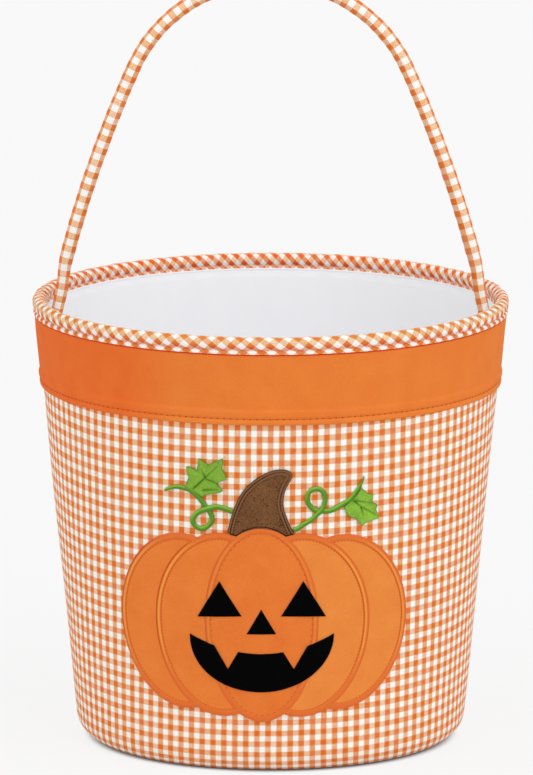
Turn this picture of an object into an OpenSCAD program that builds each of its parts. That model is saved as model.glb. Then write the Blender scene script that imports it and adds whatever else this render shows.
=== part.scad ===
// Trick-or-treat bucket bag: a tapered, foam-stiffened gingham bucket with a
// plain band, a piped rim, one swinging rope handle and an appliqued pumpkin.
// Millimetres, +Z up, the front faces -Y, origin on the floor below the axis.

/* [Bucket] */
// Outer diameter where the slant of the wall would meet the floor
base_d = 202; // [180:1:230]
// Outer diameter of the wall at the height of the rim cord
mouth_d = 247; // [236:1:280]
// Height of the rim cord's centre line above the floor
rim_z = 231; // [215:1:260]
// Radius of the soft edge between the wall and the base
foot_r = 13.5; // [9:0.5:18]
// Radius of the seam under the base that joins the wall to the base
seam_r = 80; // [60:1:84]

/* [Layers] */
// Thickness of the gingham cloth
cloth_t = 0.7; // [0.4:0.1:1]
// Thickness of the foam sheet in the wall and of the board in the base
stiffener_t = 3; // [2:0.1:4]
// Thickness of the lining
lining_t = 0.4; // [0.3:0.1:0.8]
// Room between layers that lie on each other
layer_gap = 0.05; // [0.03:0.01:0.1]

/* [Band] */
// Height of the lower edge of the band
band_z = 188; // [182:1:204]
// Thickness of the cloth of the band
band_t = 0.6; // [0.4:0.1:1]
// Width of the hem that is turned up inside the lower edge
hem_w = 8; // [5:0.5:12]

/* [Rim] */
// Outer diameter of the piped rim
rim_d = 7; // [6.6:0.1:8]
// Thickness of the bias tape that covers the rim cord
tape_t = 0.5; // [0.3:0.1:0.6]
// How far the flanges of the tape reach below the rim cord's centre line
flange_drop = 6; // [5.5:0.5:9]
// Room between a cord and the cover that is drawn over it
cord_gap = 0.1; // [0.05:0.05:0.2]

/* [Handle] */
// Outer diameter of the covered handle
handle_d = 7.5; // [6:0.5:9]
// Height of the crown's centre line above the two pivots
handle_rise = 170; // [140:1:200]
// Lean of the legs from upright at the pivots, in degrees
root_lean = 12.4; // [9:0.1:14]
// Lean of the legs from upright where the crown starts, in degrees
crown_lean = 24.2; // [22:0.1:28]
// Thickness of the cover of the handle
cover_t = 0.6; // [0.4:0.1:0.8]
// Room between the handle and the rim beside its pivots
handle_clearance = 1.75; // [1:0.25:4]
// Room under the round ends of the handle, so that it can swing
swing_gap = 0.5; // [0.4:0.1:0.8]
// Length of the sewn root below each pivot
root_l = 16; // [14:0.5:20]
// Width of the tab that is sewn in between the foam and the lining
tab_w = 16; // [12:1:24]
// Height of that tab
tab_h = 28; // [24:1:36]
// Thickness of that tab
tab_t = 1.2; // [0.8:0.1:1.6]

/* [Pumpkin] */
// Distance from the lower edge of the band down to the widest line of the pumpkin
motif_drop = 104.5; // [96:0.5:106]
// Thickness of the patches
patch_t = 0.8; // [0.5:0.1:1.2]
// Width of the satin-stitched edge of each patch
edge_w = 2; // [1.2:0.1:2.6]
// Height of the satin-stitched edge above the patch
edge_lift = 0.4; // [0.2:0.1:0.6]
// Half the width of the centre lobe
centre_lobe_w = 27.8; // [24:0.1:30]
// Distance from the axis to the middle of a mid lobe
mid_lobe_x = 21.5; // [19:0.1:24]
// Half the width of a mid lobe
mid_lobe_w = 33.2; // [30:0.1:36]
// Distance from the axis to the middle of an outer lobe
outer_lobe_x = 38; // [35:0.1:40]
// Half the width of an outer lobe
outer_lobe_w = 36; // [33:0.1:38]
// Rise of the centre, mid and outer lobes above the widest line
lobe_up = [48.8, 46.3, 45.1]; // [40:0.1:54]
// Depth of the centre, mid and outer lobes below the widest line
lobe_down = [54.9, 52, 49.5]; // [40:0.1:58]

/* [Face] */
// Thickness of the pieces of the face
face_t = 0.6; // [0.4:0.1:1]
// Room between the pieces of the face and the stitched edges round them
face_gap = 0.3; // [0.2:0.1:0.5]
// Distance from the axis to the middle of each eye
eye_x = 21.8; // [19:0.1:24]
// Height of the lower edge of the eyes above the widest line
eye_z = 1.5; // [0:0.1:4]
// Width of an eye
eye_w = 22.5; // [18:0.1:25]
// Height of an eye
eye_h = 19; // [15:0.1:22]
// Depth of the lower edge of the nose below the widest line
nose_z = 7.7; // [6:0.1:9]
// Width of the nose
nose_w = 15; // [11:0.1:17]
// Height of the nose
nose_h = 13; // [9:0.1:15]
// Distance from the axis to each corner of the mouth
mouth_x = 37.3; // [33:0.1:40]
// Depth of the corners of the mouth below the widest line
mouth_z = 8.7; // [8:0.1:11]
// Depth of the lower edge of the mouth below its corners
mouth_low = 30.1; // [26:0.1:33]
// Depth of the upper edge of the mouth below its corners
mouth_up = 9.5; // [8.5:0.1:11]
// Distance from the axis to the middle of each tooth
tooth_x = 17.5; // [15:0.1:20]
// Width of a tooth at the upper edge of the mouth
tooth_w = 12; // [9:0.1:14]
// Length of a tooth below the dip of the upper edge
tooth_l = 8.5; // [6:0.1:10]

/* [Stem and vines] */
// Radius of the outer bend of the stem
stem_r = 35; // [32:0.5:38]
// Centre of that bend: distance from the axis and height above the widest line
stem_at = [14.5, 45]; // [10:0.5:60]
// Radius of the hollow side of the stem
hollow_r = 17; // [15:0.5:18]
// Centre of the hollow side: distance from the axis and height above the widest line
hollow_at = [26, 62.5]; // [20:0.5:80]
// Distance from the axis to the cut tip of the stem
stem_tip_x = 15.5; // [14:0.1:17]
// Width of the satin-stitched vines
vine_w = 2.2; // [1.6:0.1:2.8]
// Height of the stitched vines and leaves above the cloth
embroidery_t = 0.9; // [0.5:0.1:1.4]

/* [Hidden] */
$fn = 96;

// Allowance by which a cutting shape runs past what it cuts
past = 2;
// Step by which the wall of the handle's crown is thinner than that of its legs
crown_seat = 0.05;
// Length by which the crown runs on inside the walls of the legs
crown_lap = 1;
// Points round the outline of a lobe, and along each stretch of a vine
lobe_steps = 48;
vine_steps = 5;

// The slanted wall
base_r = base_d / 2;
taper = (mouth_d - base_d) / 2 / rim_z;
slant = sqrt(1 + taper * taper);
function wall_r(z, depth = 0) = base_r + taper * z - depth * slant;

// Depths of the layers, counted inward from the outer face of the gingham
foam_in = cloth_t + layer_gap;
foam_out = foam_in + stiffener_t;
lining_in = foam_out + layer_gap;
lining_out = lining_in + lining_t;

// The rim stands on the top edge of the layers, centred on their thickness
rim_r = (wall_r(rim_z) + wall_r(rim_z, lining_out)) / 2;
wall_top = rim_z - rim_d / 2 - layer_gap;
flange_z = rim_z - flange_drop;
band_out = layer_gap + band_t;
hem_out = layer_gap + 2 * band_t;

// The soft edge between wall and base is an arc about this point
foot_x = wall_r(foot_r, foot_r);
foot_turn = -atan(taper);

// Handle: two leg arcs and a crown arc, tangent to each other, drawn from the
// spread of the pivots, the rise of the crown and the two leans
handle_r = handle_d / 2;
handle_x = rim_r - rim_d / 2 - handle_clearance - handle_r;
lean_out = cos(root_lean) - cos(crown_lean);
lean_up = sin(crown_lean) - sin(root_lean);
arch_det = cos(crown_lean) * lean_up - (1 - sin(crown_lean)) * lean_out;
crown_r = (handle_x * lean_up - handle_rise * lean_out) / arch_det;
leg_r = (handle_rise * cos(crown_lean) - handle_x * (1 - sin(crown_lean))) / arch_det;
crown_z = rim_z + handle_rise - crown_r;
leg_x = handle_x - leg_r * cos(root_lean);
leg_z = rim_z - leg_r * sin(root_lean);
core_start = root_lean + cord_gap / leg_r * 180 / PI;
root_top = rim_z - handle_r - swing_gap;
root_low = root_top - root_l;
tab_low = root_top - tab_h;

// Motif: heights are counted from the widest line of the pumpkin
widest_z = band_z - motif_drop;
patch_out = layer_gap + patch_t;
edge_out = patch_out + edge_lift;
face_in = patch_out + layer_gap;
motif_low = foot_r + past;

// Centre lines of the vines and outlines of the leaves: [x, height above the widest line]
vine_left_route = [
    [-14.5, 57], [-20, 60], [-25.5, 60.4], [-32, 58.2], [-36.4, 53.5], [-32, 48.4], [-26.8, 53],
    [-28, 58.5], [-32.2, 63.6], [-37.8, 67.6], [-44.4, 69.4], [-51.4, 66.8]
];
vine_right_route = [
    [15.2, 49.8], [22.6, 53], [28.8, 57.8], [33, 64.2], [27.8, 70], [22.6, 65.2],
    [25.6, 59.7], [32, 57.6], [40.4, 60.4], [47, 66.2], [51.8, 74.8]
];
// The run of each vine is drawn in two lengths that meet inside its curl
vine_left_split = 5;
vine_right_split = 4;
leaf_left_points = [
    [-40.3, 69.6], [-38.9, 75], [-39.5, 81], [-34.1, 79.4], [-32.5, 85.2], [-27.6, 83], [-20.5, 86.4],
    [-20.9, 82.4], [-18.3, 78.3], [-22.7, 72.5], [-20.5, 68.6], [-31, 65.5]
];
leaf_right_points = [
    [51.4, 68.1], [56.8, 65.3], [56.4, 63], [58.9, 58.8], [59.4, 51.9], [53.4, 50.9],
    [51.4, 48.8], [47.6, 52.5], [43.9, 54.6], [41.7, 60.4]
];

// Bucket

// Half section of everything inside a skin at this depth below the outer face
module inside(depth, top) {
    polygon([
        [0, depth],
        [foot_x, depth],
        [foot_x, foot_r],
        [foot_x + (foot_r - depth) * cos(foot_turn), foot_r + (foot_r - depth) * sin(foot_turn)],
        [wall_r(top, depth), top],
        [0, top]
    ]);
    translate([foot_x, foot_r])
        circle(foot_r - depth);
}

// A wall layer between two depths, from the seam under the base up to the rim
module wall_layer(near, far) {
    rotate_extrude()
        difference() {
            inside(near, wall_top);
            inside(far, wall_top + past);
            translate([0, -past])
                square([seam_r, wall_top]);
        }
}

// A base layer that fills the seam circle between the same two depths
module base_layer(near, far) {
    translate([0, 0, near])
        cylinder(r = seam_r - layer_gap, h = far - near);
}

module outer_wall() {
    color("sandybrown")
        wall_layer(0, cloth_t);
}

module outer_base() {
    color("peachpuff")
        base_layer(0, cloth_t);
}

module wall_stiffener() {
    color("lightgray")
        difference() {
            wall_layer(foam_in, foam_out);
            for (side = [-1, 1])
                root_tab(side, layer_gap);
        }
}

module base_board() {
    color("burlywood")
        base_layer(foam_in, foam_out);
}

module lining_wall() {
    color("whitesmoke")
        difference() {
            wall_layer(lining_in, lining_out);
            for (side = [-1, 1])
                root_stub(side, layer_gap);
        }
}

module lining_base() {
    color("white")
        base_layer(lining_in, lining_out);
}

// Slanted strip section that lies on the wall between two depths and two heights
module strip(near, far, low, high) {
    polygon([
        [wall_r(low, near), low],
        [wall_r(low, far), low],
        [wall_r(high, far), high],
        [wall_r(high, near), high]
    ]);
}

module top_band() {
    color("chocolate")
        rotate_extrude() {
            strip(-layer_gap, -band_out, band_z, wall_top);
            strip(-layer_gap, -hem_out, band_z, band_z + hem_w);
        }
}

// Bias tape: a tube round the cord, with one flange on the band and one on the lining
module rim_binding() {
    outer = band_out + layer_gap;
    inner = lining_out + layer_gap;
    color("coral")
        rotate_extrude()
            difference() {
                union() {
                    translate([rim_r, rim_z])
                        circle(rim_d / 2);
                    strip(inner + tape_t, -outer - tape_t, flange_z, rim_z - tape_t);
                }
                translate([rim_r, rim_z])
                    circle(rim_d / 2 - tape_t);
                strip(inner, -outer, flange_z - past, wall_top + layer_gap);
            }
}

module rim_cord() {
    color("ivory")
        rotate_extrude()
            translate([rim_r, rim_z])
                circle(rim_d / 2 - tape_t - cord_gap);
}

// Handle

// Round rod or tube along an arc in the XZ plane, between two angles from +X
module arc_rod(at, bend_r, from, to, rod_r, bore_r) {
    translate([at[0], 0, at[1]])
        rotate([90, 0, 0])
            rotate([0, 0, from])
                rotate_extrude(angle = to - from)
                    translate([bend_r, 0])
                        difference() {
                            circle(rod_r);
                            if (bore_r > 0)
                                circle(bore_r);
                        }
}

// The whole arch, from one pivot to the other; the ends of the crown seat within those of the legs
module arch(rod_r, bore_r, start) {
    crown_start = crown_lean - crown_lap / crown_r * 180 / PI;
    crown_bore_r = bore_r > 0 ? bore_r + crown_seat : 0;
    arc_rod([0, crown_z], crown_r, crown_start, 180 - crown_start, rod_r - crown_seat, crown_bore_r);
    for (flip = [0, 1])
        mirror([flip, 0, 0])
            arc_rod([leg_x, leg_z], leg_r, start, crown_lean, rod_r, bore_r);
}

// Cloth tube, closed at each pivot by a dome that starts within its wall
module handle_cover() {
    color("coral") {
        arch(handle_r, handle_r - cover_t, root_lean);
        for (side = [-1, 1])
            translate([side * handle_x, 0, rim_z])
                rotate([0, -side * root_lean, 0])
                    rotate_extrude()
                        intersection() {
                            circle(handle_r - cover_t / 2);
                            translate([0, -handle_r])
                                square(handle_r);
                        }
    }
}

module handle_core() {
    color("ivory")
        arch(handle_r - cover_t - cord_gap, 0, core_start);
}

// The round end of the handle, running down into the wall as far as the tab
module root_stub(side, grow = 0) {
    intersection() {
        translate([side * handle_x, 0, rim_z])
            rotate([0, -side * root_lean, 0])
                translate([0, 0, -rim_z])
                    cylinder(r = handle_r + grow, h = rim_z);
        rotate_extrude()
            polygon([
                [0, root_low - grow],
                [wall_r(root_low, foam_out - tab_t / 2), root_low - grow],
                [wall_r(root_top, foam_out - tab_t / 2), root_top],
                [0, root_top]
            ]);
    }
}

// The flat tab of the handle's end, let into the inner face of the foam
module root_tab(side, grow = 0) {
    intersection() {
        rotate_extrude()
            strip(foam_out - tab_t - grow, foam_out, tab_low - grow, root_top + grow);
        translate([side * wall_r(root_top) / 2, 0, (tab_low + root_top) / 2])
            cube([wall_r(root_top), tab_w + 2 * grow, 2 * tab_h], center = true);
    }
}

module handle_root(side) {
    color("coral") {
        root_stub(side);
        root_tab(side);
    }
}

module handle_root_left() {
    handle_root(-1);
}

module handle_root_right() {
    handle_root(1);
}

// Motif

// A patch on the front of the wall: the outline, given as [x, height above the
// widest line], pressed onto the slanted wall between two lifts above the cloth
module on_wall(near, far) {
    intersection() {
        rotate_extrude()
            strip(-near, -far, motif_low, band_z - layer_gap);
        translate([0, 0, widest_z])
            rotate([90, 0, 0])
                linear_extrude(wall_r(band_z) + past)
                    children();
    }
}

// Lobe outline: half an ellipse above the widest line and another below it
module lobe(kind, side = 1, inset = 0) {
    middle = [0, mid_lobe_x, outer_lobe_x][kind] * side;
    half_w = [centre_lobe_w, mid_lobe_w, outer_lobe_w][kind] - inset;
    up = lobe_up[kind] - inset;
    down = lobe_down[kind] - inset;
    polygon([
        for (i = [0 : lobe_steps - 1])
            let (turn = 360 * i / lobe_steps)
                [middle + half_w * cos(turn), (sin(turn) > 0 ? up : down) * sin(turn)]
    ]);
}

// All that lies over a lobe of this kind
module lobes_above(kind) {
    if (kind > 0)
        lobe(0);
    if (kind > 1)
        for (side = [-1, 1])
            lobe(1, side);
}

module lobe_patch(kind, side = 1) {
    color("darkorange")
        on_wall(layer_gap, patch_out)
            difference() {
                lobe(kind, side, edge_w + layer_gap);
                lobes_above(kind);
            }
}

module lobe_centre() {
    lobe_patch(0);
}

module lobe_mid_left() {
    lobe_patch(1, -1);
}

module lobe_mid_right() {
    lobe_patch(1, 1);
}

module lobe_outer_left() {
    lobe_patch(2, -1);
}

module lobe_outer_right() {
    lobe_patch(2, 1);
}

// Satin-stitched edges of the lobes, left out under the face
module lobe_edging() {
    color("orangered")
        on_wall(layer_gap, edge_out)
            difference() {
                union() {
                    for (kind = [0 : 2])
                        for (side = kind == 0 ? [1] : [-1, 1])
                            difference() {
                                lobe(kind, side);
                                lobe(kind, side, edge_w);
                                lobes_above(kind);
                            }
                }
                for (side = [-1, 1])
                    eye_outline(side, face_gap);
                mouth_outline(face_gap);
            }
}

// Triangle on a level base, grown all round by the same amount
module triangle(width, height, grow = 0) {
    side_l = sqrt(width * width / 4 + height * height);
    in_r = width * height / (width + 2 * side_l);
    scale_up = (in_r + grow) / in_r;
    translate([0, in_r])
        scale(scale_up)
            polygon([[-width / 2, -in_r], [width / 2, -in_r], [0, height - in_r]]);
}

module eye_outline(side, grow = 0) {
    translate([side * eye_x, eye_z])
        triangle(eye_w, eye_h, grow);
}

// Radius of an arc with this half chord and this depth
function arc_r(half, depth) = (half * half + depth * depth) / (2 * depth);

// Mouth: what lies between two arcs through its corners, less two teeth
module mouth_outline(grow = 0) {
    low_r = arc_r(mouth_x, mouth_low);
    up_r = arc_r(mouth_x, mouth_up);
    tooth_top = up_r - sqrt(up_r * up_r - tooth_x * tooth_x);
    tooth_h = tooth_l + tooth_top;
    translate([0, -mouth_z])
        difference() {
            translate([0, low_r - mouth_low])
                circle(low_r + grow);
            translate([0, up_r - mouth_up])
                circle(up_r - grow);
            for (side = [-1, 1])
                translate([side * tooth_x, tooth_top - mouth_up])
                    mirror([0, 1])
                        triangle(tooth_w, tooth_h, -grow);
        }
}

module face_piece() {
    color("black")
        on_wall(face_in, face_in + face_t)
            children();
}

module eye_left() {
    face_piece()
        eye_outline(-1);
}

module eye_right() {
    face_piece()
        eye_outline(1);
}

module nose() {
    face_piece()
        translate([0, -nose_z])
            triangle(nose_w, nose_h);
}

module mouth() {
    face_piece()
        mouth_outline();
}

// Stem outline: inside a large bend, outside a smaller hollow, cut off at its tip
module stem_outline(inset = 0) {
    reach = stem_r + past;
    difference() {
        translate(stem_at)
            circle(stem_r - inset);
        translate(hollow_at)
            circle(hollow_r + inset);
        translate([stem_tip_x - inset, 0])
            square([2 * reach, 4 * reach]);
        translate([-2 * reach, -2 * reach])
            square([4 * reach, 2 * reach]);
        lobe_block();
    }
}

// Everything that the pumpkin covers
module lobe_block() {
    lobe(0);
    for (kind = [1, 2])
        for (side = [-1, 1])
            lobe(kind, side);
}

module stem() {
    color("saddlebrown")
        on_wall(layer_gap, patch_out)
            stem_outline(edge_w + layer_gap);
}

module stem_edging() {
    color("maroon")
        on_wall(layer_gap, edge_out)
            difference() {
                stem_outline();
                stem_outline(edge_w);
            }
}

// Point on a smooth curve through four points, between the middle two
function curve_point(a, b, c, d, t) =
    (2 * b + (c - a) * t + (2 * a - 5 * b + 4 * c - d) * t * t + (3 * b - a - 3 * c + d) * t * t * t) / 2;

// Smooth run through a route, from one of its points to another
function smooth(route, first, last) = [
    for (i = [first : last - 1])
        for (j = [0 : vine_steps - (i == last - 1 ? 0 : 1)])
            let (before = route[max(i - 1, 0)], after = route[min(i + 2, len(route) - 1)])
                curve_point(before, route[i], route[i + 1], after, j / vine_steps)
];

// Ribbon of an even width along a run of points
module ribbon(run, width) {
    last = len(run) - 1;
    normals = [
        for (i = [0 : last])
            let (along = run[min(i + 1, last)] - run[max(i - 1, 0)])
                [-along[1], along[0]] / norm(along) * width / 2
    ];
    polygon(concat(
        [for (i = [0 : last]) run[i] + normals[i]],
        [for (i = [last : -1 : 0]) run[i] - normals[i]]
    ));
}

module vine_outline(route, split, grow = 0) {
    ribbon(smooth(route, 0, split + 1), vine_w + 2 * grow);
    ribbon(smooth(route, split, len(route) - 1), vine_w + 2 * grow);
}

module vine(route, split) {
    color("forestgreen")
        on_wall(layer_gap, layer_gap + embroidery_t)
            difference() {
                vine_outline(route, split);
                stem_outline(-layer_gap);
                lobe_block();
            }
}

module leaf(points, route, split) {
    color("olivedrab")
        on_wall(layer_gap, layer_gap + embroidery_t)
            difference() {
                polygon(points);
                vine_outline(route, split, layer_gap);
            }
}

module vine_left() {
    vine(vine_left_route, vine_left_split);
}

module vine_right() {
    vine(vine_right_route, vine_right_split);
}

module leaf_left() {
    leaf(leaf_left_points, vine_left_route, vine_left_split);
}

module leaf_right() {
    leaf(leaf_right_points, vine_right_route, vine_right_split);
}

outer_wall();
outer_base();
wall_stiffener();
base_board();
lining_wall();
lining_base();
top_band();
rim_binding();
rim_cord();
handle_root_left();
handle_root_right();
handle_cover();
handle_core();
lobe_centre();
lobe_mid_left();
lobe_mid_right();
lobe_outer_left();
lobe_outer_right();
lobe_edging();
eye_left();
eye_right();
nose();
mouth();
stem();
stem_edging();
vine_left();
vine_right();
leaf_left();
leaf_right();
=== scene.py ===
import math

import bmesh
import bpy
import numpy as np
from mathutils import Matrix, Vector


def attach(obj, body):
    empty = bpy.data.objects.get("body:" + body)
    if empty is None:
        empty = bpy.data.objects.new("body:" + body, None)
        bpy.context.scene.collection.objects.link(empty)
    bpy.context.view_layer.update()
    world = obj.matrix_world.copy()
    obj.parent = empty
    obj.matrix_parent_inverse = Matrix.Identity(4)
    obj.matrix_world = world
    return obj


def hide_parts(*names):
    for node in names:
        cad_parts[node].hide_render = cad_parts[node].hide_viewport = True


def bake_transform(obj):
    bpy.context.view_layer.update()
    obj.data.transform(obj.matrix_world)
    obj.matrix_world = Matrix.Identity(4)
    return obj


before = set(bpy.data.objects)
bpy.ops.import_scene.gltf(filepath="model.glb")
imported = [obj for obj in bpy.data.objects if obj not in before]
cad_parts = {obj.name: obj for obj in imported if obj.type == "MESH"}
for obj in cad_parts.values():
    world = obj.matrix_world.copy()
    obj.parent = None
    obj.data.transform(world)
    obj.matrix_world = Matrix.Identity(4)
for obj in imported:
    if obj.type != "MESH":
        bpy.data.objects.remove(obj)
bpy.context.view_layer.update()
scene = bpy.context.scene
mm = 0.001

# Long lens from a little above the rim and a touch to the right of the front
lens = {"centre": (0.0, 0.0, 0.120), "aim": (-0.00216, -0.0001, 0.1848), "distance": 6.0,
        "elevation": 11.606, "azimuth": 2.5, "length": 529.9, "sensor": 36.0}


def wayOut(azimuth, elevation):
    # direction from the bag, in degrees right of its front and above the level
    turn, rise = math.radians(azimuth), math.radians(elevation)
    return Vector((math.sin(turn) * math.cos(rise), -math.cos(turn) * math.cos(rise), math.sin(rise)))


def placeCamera():
    away = wayOut(lens["azimuth"], lens["elevation"])
    camera = bpy.data.objects.new("camera", bpy.data.cameras.new("camera"))
    scene.collection.objects.link(camera)
    camera.location = Vector(lens["centre"]) + away * lens["distance"]
    camera.rotation_euler = (Vector(lens["aim"]) - camera.location).to_track_quat("-Z", "Y").to_euler()
    camera.data.lens = lens["length"]
    camera.data.sensor_width = lens["sensor"]
    camera.data.clip_end = 60.0
    scene.camera = camera


placeCamera()
print("camera placed")


# Shader helpers

def tint(red, green, blue):
    # colour of a picture, 0 to 255, as the linear value that a socket takes
    part = np.array([red, green, blue]) / 255.0
    line = np.where(part <= 0.04045, part / 12.92, ((part + 0.055) / 1.055) ** 2.4)
    return (*line.tolist(), 1.0)


def addNode(tree, kind, inputs=None, **settings):
    # each input is a socket to link or a plain value
    made = tree.nodes.new(kind)
    for key, value in settings.items():
        setattr(made, key, value)
    for key, value in (inputs or {}).items():
        if isinstance(value, bpy.types.NodeSocket):
            tree.links.new(value, made.inputs[key])
        else:
            made.inputs[key].default_value = value
    return made


def calc(tree, operation, first, second=0.0, third=0.0, clamp=False):
    values = {0: first, 1: second, 2: third}
    return addNode(tree, "ShaderNodeMath", values, operation=operation, use_clamp=clamp).outputs[0]


def times(tree, first, second, clamp=False):
    return calc(tree, "MULTIPLY", first, second, clamp=clamp)


def minus(tree, first, second):
    return calc(tree, "SUBTRACT", first, second)


def blendColour(tree, factor, first, second):
    made = addNode(tree, "ShaderNodeMix", {0: factor, 6: first, 7: second}, data_type="RGBA")
    return made.outputs[2]


def noise(tree, where, scale, detail=2.0, rough=0.5):
    values = {"Vector": where, "Scale": scale, "Detail": detail, "Roughness": rough}
    return addNode(tree, "ShaderNodeTexNoise", values).outputs["Fac"]


def rampUp(tree, value, low, high):
    values = {"Value": value, "From Min": low, "From Max": high}
    return addNode(tree, "ShaderNodeMapRange", values, interpolation_type="SMOOTHSTEP").outputs["Result"]


def bell(tree, value):
    # 1 where the value is zero, falling off evenly to both sides: e to the minus value squared
    return calc(tree, "EXPONENT", times(tree, times(tree, value, value), -1.0))


def blendBoth(tree, value, colour, above, below):
    # blends to one colour where the value is positive, and to another where it is negative
    colour = blendColour(tree, calc(tree, "MAXIMUM", value, 0.0), colour, above)
    under = calc(tree, "MAXIMUM", times(tree, value, -1.0), 0.0)
    return blendColour(tree, under, colour, below)


def objectAxes(tree):
    place = addNode(tree, "ShaderNodeTexCoord").outputs["Object"]
    return addNode(tree, "ShaderNodeSeparateXYZ", {0: place}).outputs


def newGroup(name, inputs, outputs):
    group = bpy.data.node_groups.new(name, "ShaderNodeTree")
    kinds = {"v": "NodeSocketVector", "c": "NodeSocketColor", "f": "NodeSocketFloat"}
    for side, listed in (("INPUT", inputs), ("OUTPUT", outputs)):
        for label, kind in listed:
            group.interface.new_socket(label, in_out=side, socket_type=kinds[kind])
    return group, group.nodes.new("NodeGroupInput").outputs, group.nodes.new("NodeGroupOutput")


# Drift of the threads (size, amount), contrast of the one on top, slubs (size, least, amount), unlike squares
# (amount, share on full ones), grain (size, amount), how far a thread dives, and its speckling
weave = {"drift": (0.9, 0.05), "over": 1.6, "slub": (0.55, 0.55, 0.2), "square": (0.36, 0.35),
         "grain": (8.0, 1.2), "dive": 0.4, "speck": 0.30}


def makeGinghamGroup():
    # plain weave of dyed and white threads: squares where both threads are dyed are full, squares where
    # only one is dyed take a middle tone, speckled by the thread that lies on top, and no two squares match
    tree, given, result = newGroup(
        "ginghamWeave",
        [("Cloth", "v"), ("Threads", "f"), ("Full", "c"), ("Warp", "c"), ("Weft", "c"), ("White", "c"),
         ("Speck", "f")],
        [("Color", "c"), ("Height", "f")])
    driftSize, wobble = weave["drift"]
    slubSize, slubFrom, slubShare = weave["slub"]
    squareShare, fullShare = weave["square"]
    grainSize, grainShare = weave["grain"]
    across = addNode(tree, "ShaderNodeSeparateXYZ", {0: given["Cloth"]}).outputs
    drift = addNode(tree, "ShaderNodeTexNoise", {"Vector": given["Cloth"], "Scale": driftSize, "Detail": 1.0})
    drift = addNode(tree, "ShaderNodeSeparateColor", {0: drift.outputs["Color"]}).outputs
    threads, dyed, wave, cell = [], [], [], []
    for axis in (0, 1):
        shift = calc(tree, "MULTIPLY_ADD", drift[axis], wobble, across[axis])
        count = times(tree, shift, given["Threads"])
        middle = calc(tree, "ADD", calc(tree, "FLOOR", count), 0.5)
        repeat = calc(tree, "DIVIDE", middle, given["Threads"])
        threads.append(count)
        dyed.append(calc(tree, "LESS_THAN", calc(tree, "FRACT", repeat), 0.5))
        cell.append(calc(tree, "FLOOR", times(tree, repeat, 2.0)))
        wave.append(calc(tree, "SINE", times(tree, count, math.pi)))
    over = times(tree, times(tree, wave[0], wave[1]), weave["over"])
    over = calc(tree, "MAXIMUM", calc(tree, "MINIMUM", over, 1.0), -1.0)
    plain = blendColour(tree, dyed[1], given["White"], given["Weft"])
    coloured = blendColour(tree, dyed[1], given["Warp"], given["Full"])
    colour = blendColour(tree, dyed[0], plain, coloured)
    unlike = minus(tree, dyed[0], dyed[1])
    tip = times(tree, times(tree, over, unlike), given["Speck"])
    colour = blendBoth(tree, tip, colour, given["Full"], given["White"])
    square = addNode(tree, "ShaderNodeCombineXYZ", {0: cell[0], 1: cell[1], 2: 0.0}).outputs[0]
    square = addNode(tree, "ShaderNodeTexWhiteNoise", {"Vector": square}).outputs["Value"]
    square = times(tree, minus(tree, square, 0.5), squareShare)
    mixed = calc(tree, "ABSOLUTE", unlike)
    share = calc(tree, "MULTIPLY_ADD", times(tree, dyed[0], dyed[1]), fullShare, mixed)
    square = times(tree, square, share)
    grain = minus(tree, noise(tree, given["Cloth"], grainSize, 1.0), 0.5)
    grain = times(tree, grain, times(tree, mixed, grainShare))
    colour = blendBoth(tree, calc(tree, "ADD", square, grain), colour, given["White"], given["Full"])
    where = addNode(tree, "ShaderNodeCombineXYZ", {0: threads[0], 1: threads[1], 2: 0.0}).outputs[0]
    slub = minus(tree, noise(tree, where, slubSize, 1.0), slubFrom)
    slub = calc(tree, "MAXIMUM", times(tree, slub, slubShare), 0.0)
    tree.links.new(blendColour(tree, slub, colour, given["White"]), result.inputs["Color"])
    high = []
    for axis, dive in enumerate((weave["dive"], -weave["dive"])):
        level = calc(tree, "MULTIPLY_ADD", over, dive, 1 - weave["dive"])
        high.append(times(tree, calc(tree, "ABSOLUTE", wave[axis]), level))
    tree.links.new(calc(tree, "MAXIMUM", *high), result.inputs["Height"])
    return tree


# Noises are (size, detail, roughness); then the tone's share, dark specks, and the fine fibres' share of the
# relief
nap = {"broad": (75.0, 3.0), "fine": (1300.0, 3.0, 0.65), "hair": (4200.0, 2.0, 0.6), "tone": 0.68,
       "speck": (1050.0, 1.0), "speckFrom": (0.63, 0.71), "speckDark": 0.75, "fineHigh": 0.6}


def makeNapGroup():
    # brushed cloth and felt: broad mottling and fine fibres between two tones, and dark specks
    tree, given, result = newGroup(
        "brushedNap",
        [("Place", "v"), ("Tone", "c"), ("Deep", "c"), ("Mottle", "f"), ("Fibre", "f"), ("Speck", "f")],
        [("Color", "c"), ("Height", "f")])
    broad = minus(tree, noise(tree, given["Place"], *nap["broad"]), 0.5)
    fine = noise(tree, given["Place"], *nap["fine"])
    hair = noise(tree, given["Place"], *nap["hair"])
    share = calc(tree, "MULTIPLY_ADD", broad, given["Mottle"], nap["tone"])
    fibre = times(tree, minus(tree, fine, 0.5), given["Fibre"])
    share = calc(tree, "ADD", share, fibre, clamp=True)
    colour = blendColour(tree, share, given["Deep"], given["Tone"])
    speck = rampUp(tree, noise(tree, given["Place"], *nap["speck"]), *nap["speckFrom"])
    dark = blendColour(tree, nap["speckDark"], given["Deep"], (0.0, 0.0, 0.0, 1.0))
    colour = blendColour(tree, times(tree, speck, given["Speck"]), colour, dark)
    tree.links.new(colour, result.inputs["Color"])
    height = times(tree, hair, 1 - nap["fineHigh"])
    tree.links.new(calc(tree, "MULTIPLY_ADD", fine, nap["fineHigh"], height), result.inputs["Height"])
    return tree


# Threads' unevenness (size, amount), stripes in the painted highlight, slope of painted shade at the feet,
# dark gaps
satin = {"ruffle": 1.4, "ruffleBy": 0.5, "stripes": 0.35, "footSlope": 4.0, "gaps": 0.22}


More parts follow.
